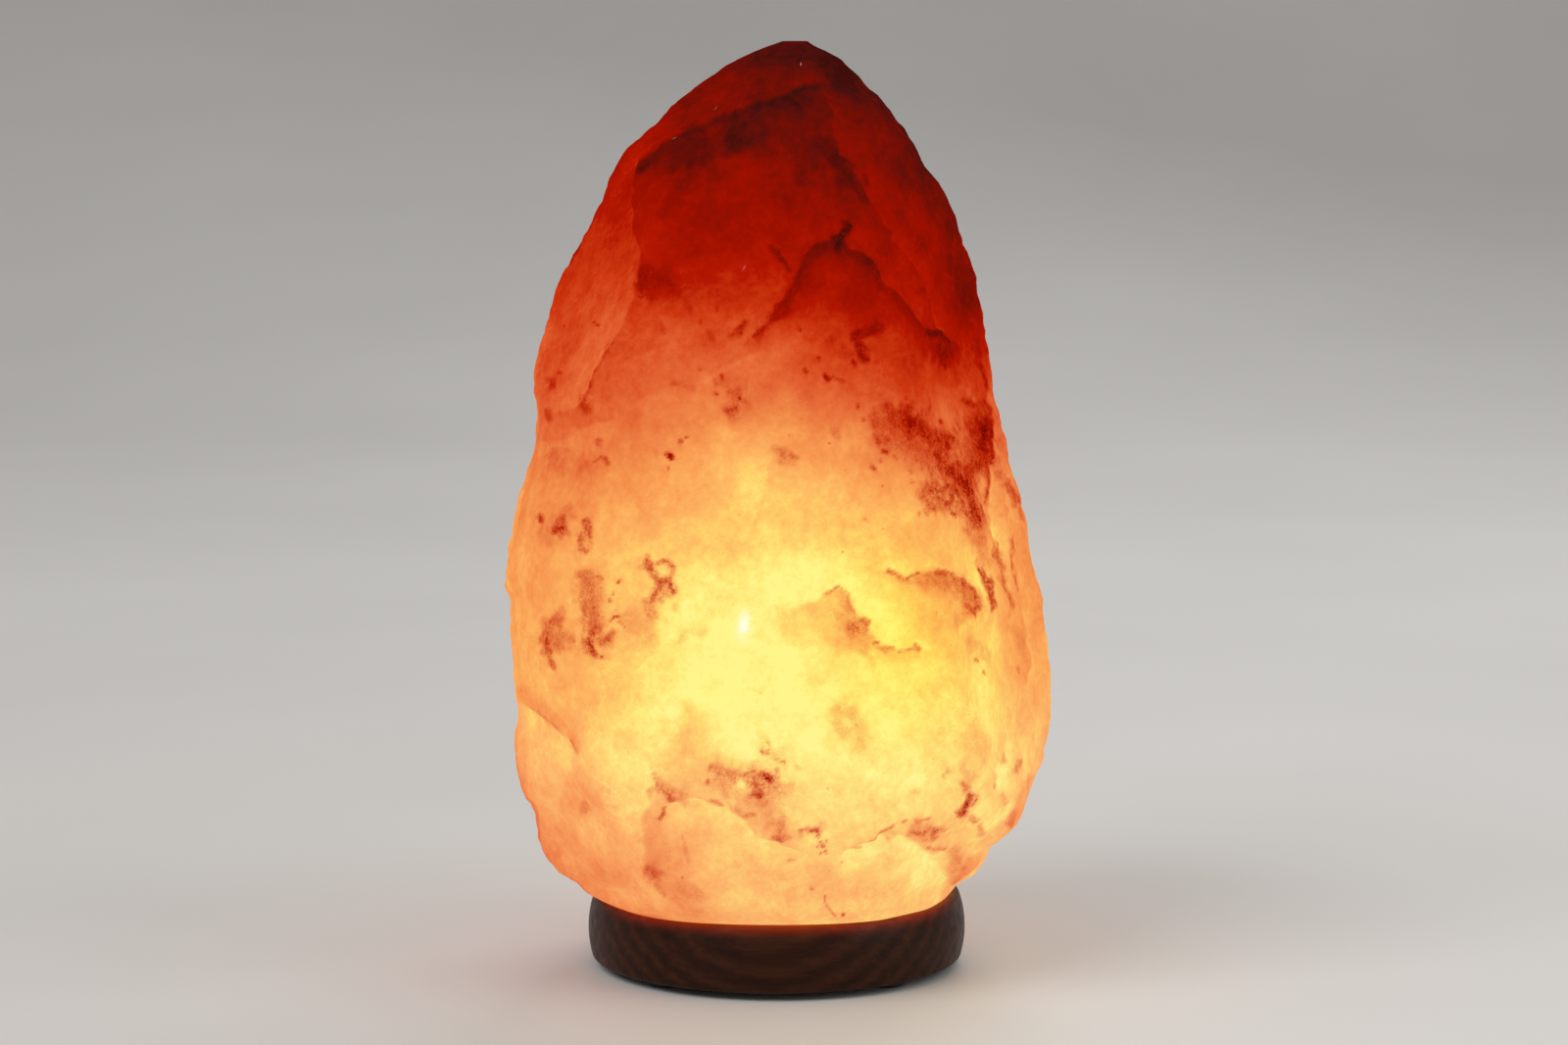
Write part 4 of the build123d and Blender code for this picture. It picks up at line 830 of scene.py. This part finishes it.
# ------------------------------------------------- the crystal: how it glows
# The light comes from the bulb: it falls off with the way through the salt.
LAMP = (-6.0, 65.0, 85.0)
reach_z = np.clip(outer[..., 2], LAMP[1], LAMP[2])
way = np.sqrt(
    (outer[..., 0] - LAMP[0]) ** 2 + outer[..., 1] ** 2 + (outer[..., 2] - reach_z) ** 2
) / 50
hi = np.maximum(outer[..., 2] - 110, 0)
lo = np.maximum(110 - outer[..., 2], 0)
glow = (
    2.429 - 1.446 * way + 0.2245 * way ** 2
    + outer[..., 0] * (0.0103 / 50 - 0.1211 * hi / 5000 + 0.188 * lo / 5000)
)
cloud = 0.05 * fbm(skin, 24.0, 3, 31) + 0.04 * fbm(skin, 8.0, 3, 32)
grain = 0.03 * (gval - 0.5) + 0.025 * (val - 0.5)
glow = np.minimum(np.clip(glow, 0.05, 1.0) + glow_add, 1.02) + cloud + grain - 0.02 * relief
# duller where the salt is thick below the lamp, and at the edge it stands on
side = 0.14 * smooth(72, 42, height)
side += 0.07 * smooth(70, 85, height) * smooth(160, 140, height) * smooth(5, -25, skin[:, 0])
glow -= side * (1 - front) + 0.055 * smooth(27.5, 21, height)
glow = np.clip(glow, 0.0, 1.0)
u, v = to_frame(skin)
# tint: yellow low on the right of the front, paler towards the base
amber = 0.5 + 0.5 * front * np.exp(-(((u - 925) / 75) ** 2 + ((v - 650) / 110) ** 2))
amber = np.clip(amber - 0.34 * smooth(85, 50, height), 0, 1)
hot = front * np.exp(-(((u - COIL[0]) / COIL[2]) ** 2 + ((v - COIL[1]) / COIL[3]) ** 2))
# painted highlights: pale dots at single points of the skin stand in for the glints of tiny crystal faces
painted_glint = np.zeros(count)
for x, y, strength in PAINTED_GLINTS:
    painted_glint[np.argmin((u - x) ** 2 + (v - y) ** 2 + np.where(front > 0.5, 0, 1e6))] = strength

# cavity, from the bottom edge of the crystal up to its domed end
CAVITY_R = 24.0
CAVITY_WALL = 116.0
inner = []
ring = outer[:STEPS]
hole = np.stack([CAVITY_R * np.cos(theta), CAVITY_R * np.sin(theta), 0 * theta + Z0], -1)
for r in np.linspace(1, 0, 5)[1:]:
    inner.append(hole + (ring - hole) * r)
for z in np.linspace(Z0, CAVITY_WALL, 9)[1:]:
    inner.append(np.stack([CAVITY_R * np.cos(theta), CAVITY_R * np.sin(theta), 0 * theta + z], -1))
for a in np.linspace(0, 90, 7)[1:-1]:
    r, z = CAVITY_R * math.cos(math.radians(a)), CAVITY_WALL + CAVITY_R * math.sin(math.radians(a))
    inner.append(np.stack([r * np.cos(theta), r * np.sin(theta), 0 * theta + z], -1))
inner = np.array(inner)
drill = 0.35 * fbm(inner, 6.0, 2, 41)
push = np.zeros(len(inner))
push[5:] = 1
radial = inner.copy()
radial[..., 2] = 0
radial /= np.maximum(np.linalg.norm(radial, axis=-1, keepdims=True), 1e-6)
inner = inner + radial * (np.abs(drill) * push[:, None])[..., None]

K = len(inner)
top_ring = grid[-1]
verts = np.concatenate([
    outer,
    inner.reshape(-1, 3),
    [outer[top_ring].mean(0)],
    [[0, 0, CAVITY_WALL + CAVITY_R]],
]) / 1000
cols = np.arange(STEPS)
nxt = (cols + 1) % STEPS
# corners and halves of each face of the skin, in turn round it
loop = np.stack([
    grid[:-1], id_ring[:-1], grid[:-1][:, nxt], id_col[:, nxt],
    grid[1:][:, nxt], id_ring[1:], grid[1:], id_col,
], -1)
a, ab, b, bc, c, cd, d, da = np.moveaxis(loop[fine], -1, 0)
e = id_mid[fine]
faces = []
for corners in ((a, ab, e, da), (ab, b, bc, e), (e, bc, c, cd), (da, e, cd, d)):
    faces += np.stack(corners, 1).tolist()
faces += [[k for k in face if k >= 0] for face in loop[~fine].tolist()]
off = count
quads = [np.stack([cols, off + cols, off + nxt, nxt], 1)]
for i in range(K - 1):
    a, b = off + i * STEPS, off + (i + 1) * STEPS
    quads.append(np.stack([a + cols, b + cols, b + nxt, a + nxt], 1))
faces += np.concatenate(quads).tolist()
apex, dome = off + K * STEPS, off + K * STEPS + 1
faces += [(top_ring[c], top_ring[n], apex) for c, n in zip(cols, nxt)]
last = off + (K - 1) * STEPS
faces += [(last + n, last + c, dome) for c, n in zip(cols, nxt)]
mesh = bpy.data.meshes.new("crystal")
mesh.from_pydata(verts.tolist(), [], faces)
mesh.polygons.foreach_set("use_smooth", [True] * len(mesh.polygons))


def attribute(name, on_outer, on_inner, at_apex):
    layer = mesh.attributes.new(name, "FLOAT", "POINT")
    values = np.concatenate([
        on_outer, np.full(K * STEPS, on_inner), [at_apex, on_inner]
    ])
    layer.data.foreach_set("value", values.astype(np.float32))


attribute("glow", glow, 0.9, float(glow[top_ring].mean()))
attribute("hot", hot, 0.0, 0.0)
# painted highlights: the glint dots
attribute("painted_glint", painted_glint, 0.0, 0.0)
attribute("amber", amber, 0.5, 0.5)
attribute("stain", np.clip(stain, 0, 1.5), 0.0, 0.2)
mesh.update()
crystal = bpy.data.objects.new("crystal", mesh)
scene.collection.objects.link(crystal)
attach(crystal, "base")
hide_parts("salt_crystal")


# ---------------------------------------------------------------- materials
def linear(*rgb):
    out = []
    for c in rgb:
        c = c / 255
        out.append(c / 12.92 if c <= 0.04045 else ((c + 0.055) / 1.055) ** 2.4)
    return (*out, 1.0)


class Nodes:
    """Short hand for a node tree with one principled shader."""

    def __init__(self, name):
        self.mat = bpy.data.materials.new(name)
        self.mat.use_nodes = True
        self.tree = self.mat.node_tree
        self.tree.nodes.clear()
        self.out = self.tree.nodes.new("ShaderNodeOutputMaterial")
        self.bsdf = self.tree.nodes.new("ShaderNodeBsdfPrincipled")
        self.tree.links.new(self.bsdf.outputs[0], self.out.inputs[0])
        self.coord = self.tree.nodes.new("ShaderNodeTexCoord")

    def new(self, kind, **settings):
        node = self.tree.nodes.new(kind)
        for key, value in settings.items():
            setattr(node, key, value)
        return node

    def link(self, a, b):
        self.tree.links.new(a, b)

    def mapping(self, scale=(1, 1, 1), rotation=(0, 0, 0)):
        node = self.new("ShaderNodeMapping")
        node.inputs["Scale"].default_value = scale
        node.inputs["Rotation"].default_value = rotation
        self.link(self.coord.outputs["Object"], node.inputs["Vector"])
        return node.outputs["Vector"]

    def noise(self, scale, detail=4.0, rough=0.55, vector=None, distort=0.0):
        node = self.new("ShaderNodeTexNoise")
        node.inputs["Scale"].default_value = scale
        node.inputs["Detail"].default_value = detail
        node.inputs["Roughness"].default_value = rough
        node.inputs["Distortion"].default_value = distort
        self.link(vector or self.coord.outputs["Object"], node.inputs["Vector"])
        return node.outputs["Fac"]

    def math(self, op, a, b=None, c=None, clamp=False):
        node = self.new("ShaderNodeMath", operation=op, use_clamp=clamp)
        for k, x in enumerate((a, b, c)):
            if x is None:
                continue
            if isinstance(x, (int, float)):
                node.inputs[k].default_value = x
            else:
                self.link(x, node.inputs[k])
        return node.outputs[0]

    def span(self, x, a, b, c, d, soft=False):
        node = self.new("ShaderNodeMapRange")
        node.interpolation_type = "SMOOTHSTEP" if soft else "LINEAR"
        node.inputs["From Min"].default_value = a
        node.inputs["From Max"].default_value = b
        node.inputs["To Min"].default_value = c
        node.inputs["To Max"].default_value = d
        self.link(x, node.inputs["Value"])
        return node.outputs["Result"]

    def ramp(self, x, stops):
        node = self.new("ShaderNodeValToRGB")
        els = node.color_ramp.elements
        while len(els) < len(stops):
            els.new(0.5)
        for el, (pos, colour) in zip(els, stops):
            el.position = pos
            el.color = colour
        self.link(x, node.inputs["Fac"])
        return node.outputs["Color"]

    def mix(self, fac, a, b, blend="MIX"):
        node = self.new("ShaderNodeMix", data_type="RGBA", blend_type=blend)
        for key, x in (("Factor", fac), ("A", a), ("B", b)):
            sock = [s for s in node.inputs if s.name == key and s.enabled][0]
            if isinstance(x, (int, float, tuple)):
                sock.default_value = x
            else:
                self.link(x, sock)
        return [s for s in node.outputs if s.enabled][0]

    def bump(self, height, strength, distance):
        node = self.new("ShaderNodeBump")
        node.inputs["Strength"].default_value = strength
        node.inputs["Distance"].default_value = distance
        self.link(height, node.inputs["Height"])
        self.link(node.outputs[0], self.bsdf.inputs["Normal"])
        return node

    def set(self, **values):
        for key, value in values.items():
            sock = self.bsdf.inputs[key.replace("_", " ")]
            if isinstance(value, (int, float, tuple)):
                sock.default_value = value
            else:
                self.link(value, sock)


def salt():
    n = Nodes("lit_rock_salt")
    glow_in = n.new("ShaderNodeAttribute", attribute_name="glow").outputs["Fac"]
    stain_in = n.new("ShaderNodeAttribute", attribute_name="stain").outputs["Fac"]
    hot_in = n.new("ShaderNodeAttribute", attribute_name="hot").outputs["Fac"]
    # mottled depth of the salt
    broad = n.noise(130.0, 5.0, 0.6)
    small = n.noise(520.0, 4.0, 0.65)
    crumb = n.noise(1500.0, 3.0, 0.7)
    t = n.math("MULTIPLY_ADD", n.math("SUBTRACT", broad, 0.5), 0.13, glow_in)
    t = n.math("MULTIPLY_ADD", n.math("SUBTRACT", small, 0.5), 0.10, t)
    t = n.math("MULTIPLY_ADD", n.math("SUBTRACT", crumb, 0.5), 0.05, t)
    # crumbly inclusions: soft patches with grain in them
    flaky = n.noise(430.0, 5.0, 0.66, distort=0.4)
    grit = n.noise(1500.0, 3.0, 0.6)
    crumbs = n.math("MULTIPLY_ADD", n.math("SUBTRACT", grit, 0.5), 2.6, 1.0)
    crumbs = n.math("MULTIPLY_ADD", n.math("SUBTRACT", flaky, 0.5), 2.4, crumbs)
    core = n.math("MULTIPLY", n.math("MULTIPLY", stain_in, n.math("MAXIMUM", crumbs, 0.1)), 0.42)
    core = n.math("MINIMUM", core, 0.72)
    t = n.math("MULTIPLY", t, n.math("SUBTRACT", 1.0, core))
    # scattered specks, more of them near the stains
    for size, rarity, depth in ((300.0, 0.80, 0.26), (640.0, 0.86, 0.22)):
        vor = n.new("ShaderNodeTexVoronoi", feature="F1")
        vor.inputs["Scale"].default_value = size
        n.link(n.coord.outputs["Object"], vor.inputs["Vector"])
        dot = n.span(vor.outputs["Distance"], 0.05, 0.15, 1.0, 0.0)
        pick = n.new("ShaderNodeSeparateColor")
        n.link(vor.outputs["Color"], pick.inputs[0])
        some = n.span(pick.outputs[0], rarity, rarity + 0.14, 0.0, 1.0)
        near = n.math(
            "ADD", n.span(n.noise(48.0, 2.0, 0.5), 0.48, 0.66, 0.05, 0.75),
            n.math("MULTIPLY", stain_in, 1.4), clamp=True,
        )
        speck = n.math("MULTIPLY", n.math("MULTIPLY", dot, some), near)
        t = n.math("MULTIPLY", t, n.math("MULTIPLY_ADD", speck, -1.6 * depth, 1.0))
    # thin pale veins
    line = n.math("ABSOLUTE", n.math("SUBTRACT", n.noise(36.0, 4.0, 0.6, distort=0.8), 0.5))
    vein = n.math(
        "MULTIPLY", n.span(line, 0.0, 0.012, 1.0, 0.0), n.span(n.noise(30.0, 2.0, 0.5), 0.5, 0.65, 0.0, 1.0)
    )
    t = n.math("MULTIPLY_ADD", vein, 0.035, t)
    t = n.math("MULTIPLY_ADD", hot_in, 0.12, n.math("MAXIMUM", n.math("MINIMUM", t, 1.0), 0.045))
    t = n.math("DIVIDE", t, 1.1, clamp=True)
    stops = [
        (0.00, (26, 9, 8)), (0.06, (74, 17, 13)), (0.14, (110, 15, 6)),
        (0.26, (155, 16, 0)), (0.35, (178, 23, 2)), (0.45, (203, 55, 16)),
        (0.52, (216, 80, 36)), (0.60, (228, 105, 55)), (0.68, (236, 130, 68)),
        (0.76, (247, 155, 82)), (0.84, (252, 180, 96)), (0.90, (253, 205, 104)),
        (0.96, (253, 230, 120)), (1.00, (254, 243, 136)), (1.10, (254, 253, 222)),
    ]
    colour = n.ramp(t, [(p / 1.1, linear(*c)) for p, c in stops])
    amber_in = n.new("ShaderNodeAttribute", attribute_name="amber").outputs["Fac"]
    tint = n.ramp(amber_in, [(0.0, (0.74, 0.74, 1.0, 1)), (0.5, (0.74, 0.74, 0.74, 1)), (1.0, (0.74, 0.74, 0.50, 1))])
    colour = n.mix(1.0, n.mix(1.0, colour, tint, "MULTIPLY"), (1.35, 1.35, 1.35, 1.0), "MULTIPLY")
    # the inclusions are browner than the salt
    colour = n.mix(1.0, colour, n.math("MULTIPLY_ADD", core, -0.45, 1.0), "MULTIPLY")
    # painted highlights: the glint dots turn the colour pale pink
    painted_glint_in = n.new("ShaderNodeAttribute", attribute_name="painted_glint").outputs["Fac"]
    colour = n.mix(n.math("POWER", painted_glint_in, 2.0), colour, (1.0, 0.62, 0.58, 1.0))
    skin_colour = n.mix(1.0, colour, (0.07, 0.08, 0.10, 1.0), "MULTIPLY")
    n.set(Base_Color=skin_colour, Emission_Color=colour, Emission_Strength=0.96,
          IOR=1.54, Specular_IOR_Level=0.0)
    n.set(Roughness=n.span(small, 0.3, 0.7, 0.55, 0.8))
    relief = n.math("ADD", n.math("MULTIPLY", small, 0.6), n.math("MULTIPLY", crumb, 0.4))
    n.bump(relief, 0.5, 0.0006)
    return n.mat


def dark_wood():
    n = Nodes("dark_turned_wood")
    # the grain runs across the base, with the heart of the tree below and behind it
    fibre = n.noise(6.0, 6.0, 0.65, n.mapping((9.0, 90.0, 90.0)), 0.6)
    pores = n.noise(5.0, 3.0, 0.6, n.mapping((26.0, 520.0, 520.0)))
    rings = n.new("ShaderNodeTexWave", wave_type="RINGS", rings_direction="X")
    rings.inputs["Scale"].default_value = 78.0
    rings.inputs["Distortion"].default_value = 5.0
    rings.inputs["Detail"].default_value = 3.0
    rings.inputs["Detail Scale"].default_value = 0.5
    rings.inputs["Detail Roughness"].default_value = 0.6
    heart = n.new("ShaderNodeMapping")
    heart.inputs["Location"].default_value = (0.0, -0.028, 0.046)
    heart.inputs["Rotation"].default_value = (0.0, 0.05, 0.09)
    heart.inputs["Scale"].default_value = (0.35, 1.0, 1.0)
    n.link(n.coord.outputs["Object"], heart.inputs["Vector"])
    n.link(heart.outputs["Vector"], rings.inputs["Vector"])
    mixed = n.math("ADD", n.math("MULTIPLY", rings.outputs["Fac"], 0.16), n.math("MULTIPLY", fibre, 0.58))
    mixed = n.math("MULTIPLY_ADD", pores, 0.26, mixed)
    colour = n.ramp(mixed, [
        (0.25, (0.011, 0.0028, 0.0010, 1)), (0.46, (0.024, 0.0064, 0.0021, 1)),
        (0.60, (0.040, 0.0110, 0.0036, 1)), (0.78, (0.066, 0.0190, 0.0064, 1)),
    ])
    wear = n.noise(300.0, 3.0, 0.6)
    n.set(Base_Color=colour, Roughness=n.span(wear, 0.3, 0.7, 0.34, 0.50),
          Coat_Weight=0.03, Coat_Roughness=0.35, Specular_IOR_Level=0.1)
    # painted light: the red light of the salt on the shoulder right under it, painted as a glow of the wood
    place = n.new("ShaderNodeSeparateXYZ")
    n.link(n.coord.outputs["Object"], place.inputs[0])
    painted_salt_light = n.math("POWER", n.span(place.outputs["Z"], 0.0155, 0.0195, 0.0, 1.0), 2.2)
    painted_salt_light = n.math("MULTIPLY", painted_salt_light, n.span(n.math("ABSOLUTE", place.outputs["X"]), 0.036, 0.048, 1.0, 0.1))
    painted_salt_light = n.math("MULTIPLY", painted_salt_light, n.span(fibre, 0.3, 0.7, 0.7, 1.1))
    # painted light: the wood's emission is the salt's light falling on it
    n.set(Emission_Color=n.mix(painted_salt_light, (0.0, 0.0, 0.0, 1.0), (0.30, 0.021, 0.0024, 1.0)), Emission_Strength=1.0)
    n.bump(mixed, 0.3, 0.0004)
    return n.mat


def plain(name, low, high, rough, metal=0.0, scale=220.0, stretch=(1, 1, 1), bump=0.15,
          distance=0.0002, **more):
    """Finish with grain in its colour, roughness and surface."""
    n = Nodes(name)
    grain = n.noise(scale, 5.0, 0.6, n.mapping(stretch))
    patch = n.noise(scale * 0.12, 2.0, 0.5)
    both = n.math("ADD", n.math("MULTIPLY", grain, 0.6), n.math("MULTIPLY", patch, 0.4))
    n.set(Base_Color=n.ramp(both, [(0.34, low), (0.66, high)]),
          Roughness=n.span(grain, 0.3, 0.7, rough[0], rough[1]), Metallic=metal)
    n.set(**more)
    n.bump(grain, bump, distance)
    return n.mat


def dress(node, mat):
    data = nodes[node].data
    data.materials.clear()
    data.materials.append(mat)


mesh.materials.append(salt())
dress("wood_base", dark_wood())
dress("rubber_feet", plain("foot_rubber", (0.012, 0.012, 0.012, 1), (0.03, 0.03, 0.03, 1), (0.7, 0.9), 0, 900, bump=0.3))
zinc = plain("zinc_plated_steel", (0.42, 0.42, 0.40, 1), (0.62, 0.61, 0.57, 1), (0.28, 0.45), 1.0, 500)
dress("crystal_screws", zinc)
dress("terminal_screws", zinc)
ivory = plain("ivory_plastic", (0.62, 0.60, 0.53, 1), (0.72, 0.70, 0.63, 1), (0.38, 0.52), 0, 700, bump=0.12)
dress("holder_cap", ivory)
dress("holder_sleeve", ivory)
dress("holder_core", plain("white_ceramic", (0.66, 0.64, 0.58, 1), (0.78, 0.76, 0.71, 1), (0.5, 0.7), 0, 400, bump=0.2))
brass = plain("brass", (0.52, 0.34, 0.11, 1), (0.72, 0.51, 0.20, 1), (0.25, 0.42), 1.0, 420)
for part in ("centre_contact", "screw_shell", "contact_rivets", "terminal_blocks"):
    dress(part, brass)
dress("holder_clip", plain("spring_steel", (0.50, 0.50, 0.50, 1), (0.68, 0.68, 0.67, 1), (0.2, 0.36), 1.0, 160, (1, 9, 1)))
dress("bulb_contact", plain("solder", (0.35, 0.35, 0.36, 1), (0.55, 0.55, 0.55, 1), (0.35, 0.6), 1.0, 900, bump=0.3))
dress("bulb_insulator", plain("black_glass", (0.006, 0.006, 0.008, 1), (0.02, 0.02, 0.024, 1), (0.1, 0.22), 0, 500))
dress("bulb_cap", plain("rolled_aluminium", (0.56, 0.56, 0.56, 1), (0.74, 0.74, 0.73, 1), (0.22, 0.4), 1.0, 240, (1, 1, 6)))
dress("bulb_glass", plain("clear_glass", (0.94, 0.95, 0.94, 1), (0.99, 0.99, 0.98, 1), (0.0, 0.03), 0, 60, bump=0.03,
                          Transmission_Weight=1.0, IOR=1.1))
dress("bulb_stem", plain("stem_glass", (0.86, 0.92, 0.88, 1), (0.95, 0.97, 0.95, 1), (0.02, 0.08), 0, 200, bump=0.08,
                         Transmission_Weight=1.0, IOR=1.5))
nickel = plain("nickel_wire", (0.40, 0.39, 0.36, 1), (0.60, 0.58, 0.53, 1), (0.25, 0.4), 1.0, 800)
dress("bulb_lead_wires", nickel)
dress("bulb_support_wire", nickel)


def hot_wire():
    n = Nodes("hot_filament")
    coil = n.new("ShaderNodeTexWave", wave_type="BANDS", bands_direction="X")
    coil.inputs["Scale"].default_value = 900.0
    n.link(n.coord.outputs["Object"], coil.inputs["Vector"])
    colour = n.ramp(coil.outputs["Fac"], [(0.2, (0.95, 0.42, 0.10, 1)), (0.8, (1.0, 0.74, 0.34, 1))])
    n.set(Base_Color=(0.25, 0.24, 0.22, 1.0), Emission_Color=colour, Emission_Strength=9.0,
          Roughness=0.5, Metallic=1.0)
    n.bump(coil.outputs["Fac"], 0.6, 0.0003)
    return n.mat


dress("bulb_filament", hot_wire())

# --------------------------------------------------------- floor and lights
size = 6.0
bend = 2.2
profile = [(-4.0, 0.0), (1.2, 0.0)]
for k in range(1, 13):
    a = math.radians(90 * k / 12)
    profile.append((1.2 + bend * math.sin(a), bend * (1 - math.cos(a))))
profile.append((1.2 + bend, 5.0))
floor_verts = [(x, y, z) for y, z in profile for x in (-size, size)]
floor_faces = [(2 * k, 2 * k + 1, 2 * k + 3, 2 * k + 2) for k in range(len(profile) - 1)]
floor_mesh = bpy.data.meshes.new("floor")
floor_mesh.from_pydata(floor_verts, [], floor_faces)
floor_mesh.polygons.foreach_set("use_smooth", [True] * len(floor_faces))
floor = bpy.data.objects.new("floor", floor_mesh)
scene.collection.objects.link(floor)
n = Nodes("pale_floor")
tone = n.noise(3.0, 3.0, 0.5)
n.set(Base_Color=n.ramp(tone, [(0.3, (0.60, 0.59, 0.575, 1)), (0.7, (0.64, 0.63, 0.615, 1))]), Roughness=0.55)
# seen from below the floor lets the view through
back = n.new("ShaderNodeNewGeometry").outputs["Backfacing"]
clear = n.new("ShaderNodeBsdfTransparent")
either = n.new("ShaderNodeMixShader")
n.link(back, either.inputs[0])
n.link(n.bsdf.outputs[0], either.inputs[1])
n.link(clear.outputs[0], either.inputs[2])
n.link(either.outputs[0], n.out.inputs[0])
floor_mesh.materials.append(n.mat)

world = bpy.data.worlds.new("studio")
scene.world = world
world.use_nodes = True
world.node_tree.nodes["Background"].inputs["Color"].default_value = (0.84, 0.82, 0.79, 1)
world.node_tree.nodes["Background"].inputs["Strength"].default_value = 0.50


def softbox(name, where, at, width, height, watts, colour=(1, 1, 1)):
    data = bpy.data.lights.new(name, "AREA")
    data.shape = "RECTANGLE"
    data.size, data.size_y = width, height
    data.energy = watts
    data.color = colour
    lamp = bpy.data.objects.new(name, data)
    lamp.location = where
    from mathutils import Vector
    aim = Vector(at) - Vector(where)
    lamp.rotation_euler = aim.to_track_quat("-Z", "Y").to_euler()
    scene.collection.objects.link(lamp)


softbox("key", (-1.1, -1.0, 1.5), (0, 0, 0.1), 1.2, 1.2, 20)
softbox("fill", (1.4, -0.6, 0.9), (0, 0, 0.1), 1.0, 1.4, 8)
softbox("rim", (0.5, 1.3, 1.2), (0, 0, 0.12), 1.2, 0.8, 9)

scene.view_settings.view_transform = "Standard"
scene.view_settings.look = "None"
scene.view_settings.exposure = 0
scene.view_settings.gamma = 1
